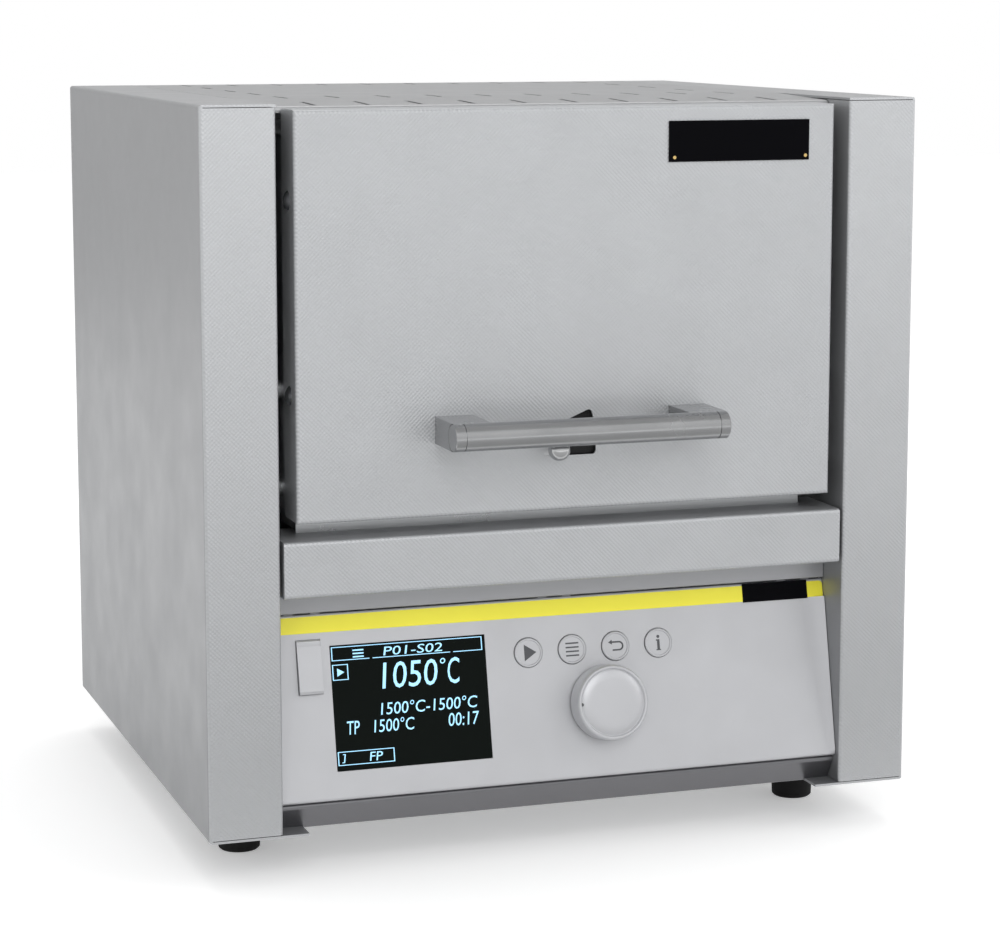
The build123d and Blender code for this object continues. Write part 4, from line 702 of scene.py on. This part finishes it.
@dataclass
class Console:
    """Sloping console: display content, key symbols, bare plate, jog knob and a dark strip of painted
    shadow in the seam over the stripe.

    Sizes are millimetres on the sloping face, counted from the middle of its foot.
    """

    palette: Palette
    foot: tuple[float, float, float] = (0.0, -160.4, 41.0)
    tilt: float = 12.7
    window: tuple[float, float, float, float] = (-123.8, -40.2, 14.2, 78.5)
    keys: tuple[str, ...] = ("play_key", "menu_key", "return_key", "info_key")
    first_key: float = -16.9
    key_pitch: float = 24.35
    key_height: float = 67.2
    key_top: float = 0.5
    ink_depth: float = 0.06
    lit: tuple[float, float] = (-0.1, -0.04)
    plate: tuple[float, float, float, float] = (106.6, 144.6, 85.0, 95.0)
    plate_depth: float = 0.6
    knob_x: float = 23.9
    knob_height: float = 38.2
    knob_radius: float = 19.75
    knob_reach: float = 13.0
    knob_gap: float = 1.2
    knob_rim: tuple[tuple[float, float], ...] = (
        (0.0, 2.2),
        (0.15, 1.3),
        (0.5, 0.6),
        (1.0, 0.08),
        (1.35, 0.0),
        (1.8, 0.12),
        (2.2, 0.6),
        (2.5, 1.15),
        (2.9, 1.2),
        (3.2, 1.0),
    )
    notch_inset: float = 2.6
    notch_radius: float = 0.9
    # Painted shadow in the seam over the stripe: the clips that break it, its half width and its heights.
    clips: tuple[float, ...] = (6.8, 130.0, 144.0)
    clip_half: float = 2.6
    seam_shadow_half: float = 152.0
    seam_shadow_low: float = 95.4
    seam_shadow_high: float = 96.6

    def place(self, x: float = 0.0, y: float = 0.0, out: float = 0.0) -> Matrix:
        """Matrix from a flat drawing to the sloping face.

        Args:
            x: Across the face, in millimetres.
            y: Up the face.
            out: Out of the face.

        Returns:
            The matrix, with metres as its result.
        """
        slope = Matrix.Rotation(math.radians(90.0 - self.tilt), 4, "X")
        return Matrix.Scale(MM, 4) @ Matrix.Translation(self.foot) @ slope @ Matrix.Translation((x, y, out))

    def _spot(self, across: float, down: float) -> tuple[float, float]:
        """Point of the display window.

        Args:
            across: Share of its width.
            down: Share of its height, from the top.

        Returns:
            Millimetres across and up the face.
        """
        left, right, low, high = self.window
        return left + across * (right - left), high - down * (high - low)

    def _line(self, shape: Shape, x0: float, x1: float, y0: float, y1: float) -> None:
        """Adds one lit bar of the display.

        Args:
            shape: Shape to add to.
            x0: Left share.
            x1: Right share.
            y0: Upper share.
            y1: Lower share.
        """
        left, low = self._spot(x0, y1)
        right, high = self._spot(x1, y0)
        shape.bar(left, right, low, high, *self.lit)

    def _frame(
        self, shape: Shape, x0: float, x1: float, y0: float, y1: float, width: float = 0.006
    ) -> None:
        """Adds the outline of a lit box, with two breaks under a wide one.

        Args:
            shape: Shape to add to.
            x0: Left share.
            x1: Right share.
            y0: Upper share.
            y1: Lower share.
            width: Width of its lines.
        """
        self._line(shape, x0, x1, y0, y0 + width)
        self._line(shape, x0, x0 + width, y0 + width, y1 - width)
        self._line(shape, x1 - width, x1, y0 + width, y1 - width)
        wide = x1 - x0 > 0.8
        breaks = (x0, x0 + 0.24, x0 + 0.26, x0 + 0.76, x0 + 0.78, x1) if wide else (x0, x1)
        for start, end in zip(breaks[::2], breaks[1::2]):
            self._line(shape, start, end, y1 - width, y1)

    def _words(self, shape: Shape, words: str, x0: float, x1: float, y0: float, y1: float) -> None:
        """Adds lit lettering.

        Args:
            shape: Shape to add to.
            words: What it reads.
            x0: Left share.
            x1: Right share.
            y0: Upper share.
            y1: Lower share.
        """
        left, low = self._spot(x0, y1)
        right, high = self._spot(x1, y0)
        shape.text(words, (left, right, low, high), *self.lit)

    def display(self) -> None:
        """Builds the lit content of the display."""
        shape = Shape()
        self._frame(shape, 0.01, 0.98, 0.015, 0.125)
        for row in range(3):
            self._line(shape, 0.145, 0.215, 0.045 + row * 0.026, 0.056 + row * 0.026)
        self._words(shape, "P01-S02", 0.34, 0.72, 0.04, 0.11)
        self._frame(shape, 0.01, 0.11, 0.155, 0.28)
        left, low = self._spot(0.04, 0.25)
        right, high = self._spot(0.085, 0.185)
        shape.prism([(left, low), (right, (low + high) / 2.0), (left, high)], *self.lit)
        self._words(shape, "1050", 0.32, 0.68, 0.165, 0.375)
        self._words(shape, "°", 0.70, 0.735, 0.165, 0.21)
        self._words(shape, "C", 0.745, 0.825, 0.165, 0.375)
        self._words(shape, "1500°C-1500°C", 0.30, 0.925, 0.48, 0.58)
        self._words(shape, "TP", 0.08, 0.16, 0.61, 0.715)
        self._words(shape, "1500°C", 0.25, 0.51, 0.61, 0.715)
        self._words(shape, "00:17", 0.73, 0.93, 0.61, 0.715)
        self._frame(shape, 0.01, 0.37, 0.845, 0.955)
        self._words(shape, "]", 0.035, 0.06, 0.865, 0.935)
        self._words(shape, "FP", 0.21, 0.295, 0.865, 0.935)
        lit = self.palette.glow("display segments", (0.30, 0.58, 0.78), 0.95)
        shape.build("display_content", self.place(), lit, "housing", Slot.GLASS)

    def _symbol(self, key: str) -> Shape:
        """Symbol of one key, drawn round its middle.

        Args:
            key: Node of the key.

        Returns:
            The drawn symbol.
        """
        shape = Shape()
        depth = self.ink_depth
        if key == "play_key":
            shape.prism([(-2.3, -4.4), (4.4, 0.0), (-2.3, 4.3)], 0.0, depth)
        elif key == "menu_key":
            for row in range(4):
                shape.bar(-3.6, 3.7, 2.8 - row * 2.15, 3.6 - row * 2.15, 0.0, depth)
        elif key == "return_key":
            bend = 2.1
            turns = [step * math.pi / 10 for step in range(11)]
            path = [(-1.6, -bend)]
            path += [(2.0 + bend * math.sin(turn), -bend * math.cos(turn)) for turn in turns]
            path.append((-2.2, bend))
            for (x0, y0), (x1, y1) in zip(path, path[1:]):
                way = Vector((x1 - x0, y1 - y0))
                side = Vector((-way.y, way.x)).normalized() * 0.42
                end = way.normalized() * 0.12
                corners = [(x0 - end.x + side.x * k, y0 - end.y + side.y * k) for k in (1, -1)]
                corners += [(x1 + end.x + side.x * k, y1 + end.y + side.y * k) for k in (-1, 1)]
                shape.prism(corners, 0.0, depth)
            shape.prism([(-4.0, 2.1), (-1.9, 0.8), (-1.9, 3.4)], 0.0, depth)
        else:
            shape.disc(0.0, 3.3, 0.85, 0.0, depth)
            shape.bar(-0.7, 0.75, -3.4, 1.8, 0.0, depth)
            shape.bar(-1.25, -0.7, 1.1, 1.8, 0.0, depth)
            shape.bar(-1.3, 1.3, -4.0, -3.4, 0.0, depth)
        return shape

    def symbols(self) -> None:
        """Builds the symbol on each key."""
        ink = self.palette.get(INK)
        for index, key in enumerate(self.keys):
            place = self.place(self.first_key + index * self.key_pitch, self.key_height, self.key_top)
            self._symbol(key).build(f"{key}_symbol", place, ink, key, Slot.BLACK)

    def bare_plate(self) -> None:
        """Builds the small plain plate over the stripe's right end."""
        black = self.palette.get(PLATE_BLACK)
        shape = Shape().bar(*self.plate, 0.0, self.plate_depth)
        shape.build("console_plate", self.place(), black, "housing", Slot.BLACK, 0.0002)

    def knob(self) -> None:
        """Builds the finely turned jog knob over its CAD one, with its finger notch."""
        outer, reach, gap = self.knob_radius, self.knob_reach, self.knob_gap
        profile = [(0.0, gap + 2.4), (3.0, gap + 2.4), (outer - 2.4, gap + 2.4)]
        profile += [(outer - 2.4, gap), (outer - 0.2, gap), (outer, gap + 0.3)]
        profile += [(outer - inward, reach - down) for inward, down in self.knob_rim]
        profile += [(outer * 0.6, reach - 0.72), (outer * 0.3, reach - 0.55), (0.0, reach - 0.5)]
        place = self.place(self.knob_x, self.knob_height)
        metal = self.palette.get(FINISHES[Slot.MOULDING])
        form = Shape().turned(profile, 128)
        knob = form.build("jog_knob_turned", place, metal, "jog_knob", Slot.MOULDING)
        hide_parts("jog_knob")
        side = self.notch_inset - outer
        notch = Shape().disc(side, 0.0, self.notch_radius, reach - 1.3, reach - 0.85, 24)
        dark = self.palette.get(INK)
        notch.build("jog_knob_notch", place, dark, "jog_knob", Slot.BLACK, 0.0001)

    def seam(self) -> None:
        """Builds a dark strip as painted shadow in the seam over the stripe, broken at the clips."""
        shape = Shape()
        start = -self.seam_shadow_half
        stops = sorted([-clip for clip in self.clips] + list(self.clips))
        stops.append(self.seam_shadow_half + self.clip_half)
        for clip in stops:
            end = clip - self.clip_half
            shape.bar(start, end, self.seam_shadow_low, self.seam_shadow_high, -1.0, -0.25)
            start = clip + self.clip_half
        dark = self.palette.get(PLATE_BLACK)
        shape.build("stripe_seam_painted_shadow", self.place(), dark, "housing", Slot.BLACK)

    def build(self) -> None:
        """Builds every piece of the console."""
        self.display()
        self.symbols()
        self.bare_plate()
        self.knob()
        self.seam()


@dataclass
class Door:
    """Lift door: plain plate with its rivets, handle bar, ball knob and a dark grille on a dark backing
    behind the slide, painted shade for its opening.

    Sizes are millimetres. Drawings lie on the door's front, counted from the floor.
    """

    palette: Palette
    front: float = -164.4
    plate: tuple[float, float, float, float] = (52.3, 130.8, 362.3, 383.3)
    plate_depth: float = 0.8
    rivets: tuple[tuple[float, float], ...] = ((55.3, 364.6), (128.6, 364.6))
    rivet_radius: float = 0.95
    rivet_height: float = 0.35
    handle_half: float = 73.4
    handle_radius: float = 7.0
    handle_place: tuple[float, float, float] = (0.0, -193.6, 229.67)
    groove: float = 5.2
    groove_depth: float = 0.8
    chamfer: float = 0.4
    ball_radius: float = 5.75
    ball_place: tuple[float, float, float] = (-11.1, -176.4, 218.27)
    grille: tuple[float, float, float, float] = (-17.0, 15.5, 211.0, 239.0)
    grille_pitch: float = 1.3
    grille_depth: float = 2.65
    grille_wire: float = 0.35

    def place(self) -> Matrix:
        """Matrix from a flat drawing to the door's front.

        Returns:
            The matrix, with metres as its result.
        """
        turn = Matrix.Rotation(math.radians(90.0), 4, "X")
        return Matrix.Scale(MM, 4) @ Matrix.Translation((0.0, self.front, 0.0)) @ turn

    def badge(self) -> None:
        """Builds the bare plate and its rivets."""
        depth = self.plate_depth
        black = self.palette.get(PLATE_BLACK)
        plate = Shape().bar(*self.plate, 0.0, depth)
        plate.build("door_plate", self.place(), black, "door", Slot.BLACK, 0.00025)
        rivets = Shape()
        for x, z in self.rivets:
            rivets.disc(x, z, self.rivet_radius, depth, depth + self.rivet_height, 20)
        brass = self.palette.get(FINISHES[Slot.BRASS])
        rivets.build("door_plate_rivets", self.place(), brass, "door", Slot.BRASS, 0.0002)

    def handle(self) -> None:
        """Builds the finely turned handle bar over its CAD one."""
        half, radius, edge = self.handle_half, self.handle_radius, self.chamfer
        cut, deep = half - self.groove, radius - self.groove_depth
        profile = [(0.0, -half), (radius - edge, -half), (radius, edge - half)]
        profile += [(radius, -cut), (deep, -cut), (deep, edge - cut), (radius, edge - cut)]
        profile += [(radius, cut - edge), (deep, cut - edge), (deep, cut), (radius, cut)]
        profile += [(radius, half - edge), (radius - edge, half), (0.0, half)]
        turn = Matrix.Rotation(math.radians(90.0), 4, "Y")
        place = Matrix.Scale(MM, 4) @ Matrix.Translation(self.handle_place) @ turn
        # The bar's darker steel is painted shade for its dark reflections.
        steel = self.palette.get(HANDLE_STEEL_PAINTED_SHADE)
        form = Shape().turned(profile)
        bar = form.build("handle_bar_turned", place, steel, "door", Slot.STAINLESS)
        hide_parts("handle_bar")

    def ball(self) -> None:
        """Builds the finely turned ball of the air slide over its CAD one."""
        radius = self.ball_radius
        arc = [math.radians(angle) for angle in range(-55, 90, 5)]
        profile = [(0.0, radius * math.sin(arc[0]))]
        profile += [(radius * math.cos(angle), radius * math.sin(angle)) for angle in arc]
        profile.append((0.0, radius))
        turn = Matrix.Rotation(math.radians(90.0), 4, "X")
        place = Matrix.Scale(MM, 4) @ Matrix.Translation(self.ball_place) @ turn
        steel = self.palette.get(BALL_STEEL)
        form = Shape().turned(profile, 48)
        ball = form.build("air_knob_turned", place, steel, "air_slide", Slot.POLISHED)
        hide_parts("air_knob")

    def air_grille_painted_shade(self) -> None:
        """Builds a dark wire grille on a thin dark backing behind the air slide, painted shade for the
        opening.
        """
        left, right, low, high = self.grille
        pitch, wire = self.grille_pitch, self.grille_wire
        back = -self.grille_depth
        # The dark backing and wires stand in for the shade in the slide's opening.
        shape = Shape().bar(left, right, low, high, back - 0.15, back - 0.1)
        for step in range(int((right - left) / pitch) + 1):
            x = left + step * pitch
            shape.bar(x, x + wire, low, high, back - 0.1, back)
        for step in range(int((high - low) / pitch) + 1):
            z = low + step * pitch
            shape.bar(left, right + 0.3, z, z + wire, back - 0.1, back + 0.04)
        dark = self.palette.get(FINISHES[Slot.BLACK])
        shape.build("air_grille_painted_shade", self.place(), dark, "door", Slot.BLACK)

    def build(self) -> None:
        """Builds every piece of the door."""
        self.badge()
        self.handle()
        self.ball()
        self.air_grille_painted_shade()


@dataclass
class Heating:
    """Wound heating coils that stand in for the straight CAD rods."""

    palette: Palette
    turns: int = 44
    steps: int = 9
    coil_radius: float = 1.0
    wire_radius: float = 0.28
    rows: int = 8
    inset: float = 1.3
    end_gap: float = 1.0

    def _coil(self, x: float, z: float, start: float, end: float) -> list[Vector]:
        """Path of one coil, front to back.

        Args:
            x: Its middle across.
            z: Its middle height.
            start: Where it starts.
            end: Where it ends.

        Returns:
            The points of the wire's middle.
        """
        count = self.turns * self.steps
        path = []
        for index in range(count + 1):
            turn = 2.0 * math.pi * index / self.steps
            y = start + (end - start) * index / count
            across, up = self.coil_radius * math.cos(turn), self.coil_radius * math.sin(turn)
            path.append(Vector((x + across, y, z + up)))
        return path

    def build(self) -> None:
        """Builds all coils in the grooves of both plates."""
        low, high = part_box("heater_windings")
        low, high = low / MM, high / MM
        pitch = (high.z - low.z - 2.0 * self.inset) / (self.rows - 1)
        shape = Shape()
        for x in (low.x + self.inset, high.x - self.inset):
            for row in range(self.rows):
                z = low.z + self.inset + row * pitch
                path = self._coil(x, z, low.y + self.end_gap, high.y - self.end_gap)
                shape.tube(path, self.wire_radius, 4)
        wire = self.palette.get(COIL_WIRE)
        coils = shape.build("heater_coils", Matrix.Scale(MM, 4), wire, "housing", Slot.ZINC)
        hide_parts("heater_windings")


@dataclass
class RearScrews:
    """Dark crosses on the rear screws' heads, painted shade for their cross recesses."""

    palette: Palette
    back: float = 187.5
    across: float = 185.0
    heights: tuple[float, ...] = (49.0, 209.5, 370.0)
    arm: float = 1.5
    width: float = 0.35
    sunk: float = -0.4
    proud: float = 0.12

    def build(self) -> None:
        """Builds one dark cross per screw of the rear panel, painted shade for its recess."""
        arm, width = self.arm, self.width
        shape = Shape()
        for side in (-1.0, 1.0):
            for z in self.heights:
                x = side * self.across
                shape.bar(x - arm, x + arm, z - width, z + width, self.sunk, self.proud)
                shape.bar(x - width, x + width, z - arm, z + arm, self.sunk, self.proud - 0.01)
        flip = Matrix.Scale(-1.0, 4, (0.0, 0.0, 1.0))
        turn = Matrix.Rotation(math.radians(90.0), 4, "X") @ flip
        place = Matrix.Scale(MM, 4) @ Matrix.Translation((0.0, self.back, 0.0)) @ turn
        dark = self.palette.get(PLATE_BLACK)
        shape.build("rear_screw_recess_painted_shade", place, dark, "housing", Slot.BLACK)


@dataclass
class Housing:
    """Dresses every CAD node in the finish of its slot; the side panels, top cover and handle get their own
    finishes with painted shade.
    """

    palette: Palette
    special: dict[str, Finish] = field(default_factory=lambda: {
        "side_panel_left": SIDE_PANEL_PAINTED_SHADE,
        "side_panel_right": SIDE_PANEL_PAINTED_SHADE,
        "top_cover": TOP_SHEET_PAINTED_SHADE,
        "handle_bar": HANDLE_STEEL_PAINTED_SHADE,
        "handle_mounts": HANDLE_STEEL_PAINTED_SHADE,
        "console_housing": BAND_MOULDING,
    })

    def build(self) -> None:
        """Gives each CAD object its material."""
        slots = {row["node"]: Slot(row["material_slot"]) for row in frame["record"]["subparts"]}
        for node, piece in frame["nodes"].items():
            finish = self.special.get(node, FINISHES[slots[node]])
            piece.data.materials.clear()
            piece.data.materials.append(self.palette.get(finish))
        LOG.info("dressed %d nodes", len(slots))


@dataclass(frozen=True)
class Lamp:
    """Soft square lamp aimed at the furnace.

    Args:
        name: Name of the lamp.
        place: Where it hangs, in metres.
        size: Its side in metres.
        power: Its power in watts.
    """

    name: str
    place: tuple[float, float, float]
    size: float
    power: float


@dataclass(frozen=True)
class Card:
    """Grey card that only the metal's reflections see.

    Args:
        name: Name of the card.
        corners: Its corners in order, in metres.
        grey: Its grey.
    """

    name: str
    corners: tuple[tuple[float, float, float], ...]
    grey: float


LAMPS = (
    Lamp("front lamp", (-0.4, -3.0, 2.0), 1.8, 26.0),
    Lamp("right lamp", (2.4, -1.6, 1.6), 1.6, 14.0),
    Lamp("top lamp", (0.2, 0.6, 2.8), 2.0, 14.0),
)
REAR = ((-3.4, 2.4, 0.0), (2.2, 2.4, 0.0), (2.2, 2.4, 2.0), (-3.4, 2.4, 2.0))
LOW = ((-1.2, -1.0, 0.003), (1.2, -1.0, 0.003), (1.2, -0.24, 0.003), (-1.2, -0.24, 0.003))
HIGH = ((-1.0, -1.0, 1.25), (1.0, -1.0, 1.25), (1.0, 0.0, 1.25), (-1.0, 0.0, 1.25))
CARDS = (Card("rear card", REAR, 0.5), Card("low card", LOW, 0.60), Card("high card", HIGH, 0.62))


@dataclass
class Studio:
    """Camera, lamps, cards, pale floor and white surroundings."""

    camera_place: tuple[float, float, float] = (-0.49395, -1.50793, 0.44156)
    pitch: float = 8.013
    yaw: float = 18.716
    lens: float = 101.607
    shift: float = -0.06
    floor_half: float = 6.0
    ambient: float = 0.74
    floor_lift: float = 0.31
    mirror_level: float = 0.92
    floor_grey: float = 0.93
    aim: tuple[float, float, float] = (0.0, 0.0, 0.2)
    lamps: tuple[Lamp, ...] = LAMPS
    cards: tuple[Card, ...] = CARDS

    def camera(self) -> None:
        """Places the camera of the photograph."""
        data = bpy.data.cameras.new("camera")
        data.lens = self.lens
        data.sensor_width = 36.0
        data.shift_y = self.shift
        view = bpy.data.objects.new("camera", data)
        view.location = self.camera_place
        view.rotation_euler = (math.radians(90.0 - self.pitch), 0.0, math.radians(-self.yaw))
        bpy.context.scene.collection.objects.link(view)
        bpy.context.scene.camera = view

    def hang(self, row: Lamp) -> None:
        """Adds one lamp.

        Args:
            row: The lamp's values.
        """
        data = bpy.data.lights.new(row.name, "AREA")
        data.size = row.size
        data.energy = row.power
        lamp = bpy.data.objects.new(row.name, data)
        lamp.location = row.place
        aim = Vector(self.aim) - Vector(row.place)
        lamp.rotation_euler = aim.to_track_quat("-Z", "Y").to_euler()
        bpy.context.scene.collection.objects.link(lamp)

    def world(self) -> None:
        """White surroundings for the camera and reflections, softer for diffuse light."""
        world = bpy.data.worlds.new("studio")
        world.use_nodes = True
        graph = Graph(world.node_tree)
        path = graph.node("ShaderNodeLightPath")
        seen = graph.math("MAXIMUM", path.outputs["Is Glossy Ray"], path.outputs["Is Transmission Ray"])
        mirrored = graph.math("MULTIPLY", seen, self.mirror_level)
        direct = graph.math("MAXIMUM", path.outputs["Is Camera Ray"], mirrored)
        strength = graph.math("MAXIMUM", direct, self.ambient)
        background = world.node_tree.nodes["Background"]
        background.inputs["Color"].default_value = (1.0, 1.0, 1.0, 1.0)
        world.node_tree.links.new(strength, background.inputs["Strength"])
        bpy.context.scene.world = world

    def floor(self) -> None:
        """Pale floor that keeps the furnace's shadow."""
        half = self.floor_half
        mesh = bpy.data.meshes.new("floor")
        corners = [(-half, -half, 0.0), (half, -half, 0.0), (half, half, 0.0), (-half, half, 0.0)]
        mesh.from_pydata(corners, [], [(0, 1, 2, 3)])
        material = bpy.data.materials.new("pale floor")
        material.use_nodes = True
        body = material.node_tree.nodes["Principled BSDF"]
        body.inputs["Base Color"].default_value = rgba((self.floor_grey,) * 3)
        body.inputs["Roughness"].default_value = 0.7
        graph = Graph(material.node_tree)
        path = graph.node("ShaderNodeLightPath")
        seen = graph.math("MAXIMUM", path.outputs["Is Camera Ray"], path.outputs["Is Glossy Ray"])
        seen = graph.math("MAXIMUM", seen, path.outputs["Is Transmission Ray"])
        body.inputs["Emission Color"].default_value = (1.0, 1.0, 1.0, 1.0)
        lift = graph.math("MULTIPLY", seen, self.floor_lift)
        material.node_tree.links.new(lift, body.inputs["Emission Strength"])
        mesh.materials.append(material)
        floor = bpy.data.objects.new("floor", mesh)
        bpy.context.scene.collection.objects.link(floor)

    def stand(self, row: Card) -> None:
        """Adds one card.

        Args:
            row: The card's values.
        """
        mesh = bpy.data.meshes.new(row.name)
        mesh.from_pydata(row.corners, [], [(0, 1, 2, 3)])
        material = bpy.data.materials.new(row.name)
        material.use_nodes = True
        body = material.node_tree.nodes["Principled BSDF"]
        body.inputs["Base Color"].default_value = rgba((row.grey,) * 3)
        mesh.materials.append(material)
        card = bpy.data.objects.new(row.name, mesh)
        bpy.context.scene.collection.objects.link(card)
        card.visible_camera = False
        card.visible_diffuse = False
        card.visible_shadow = False

    def build(self) -> None:
        """Builds the whole studio."""
        scene = bpy.context.scene
        scene.view_settings.view_transform = "Standard"
        self.camera()
        self.world()
        self.floor()
        for row in self.cards:
            self.stand(row)
        for row in self.lamps:
            self.hang(row)
        LOG.info("studio ready")


def main() -> None:
    """Builds the studio and each sub-assembly in order."""
    logging.basicConfig(level=logging.INFO)
    Studio().build()
    palette = Palette()
    Housing(palette).build()
    Console(palette).build()
    Door(palette).build()
    Heating(palette).build()
    RearScrews(palette).build()
    bpy.context.view_layer.update()


if __name__ == "__main__":
    main()
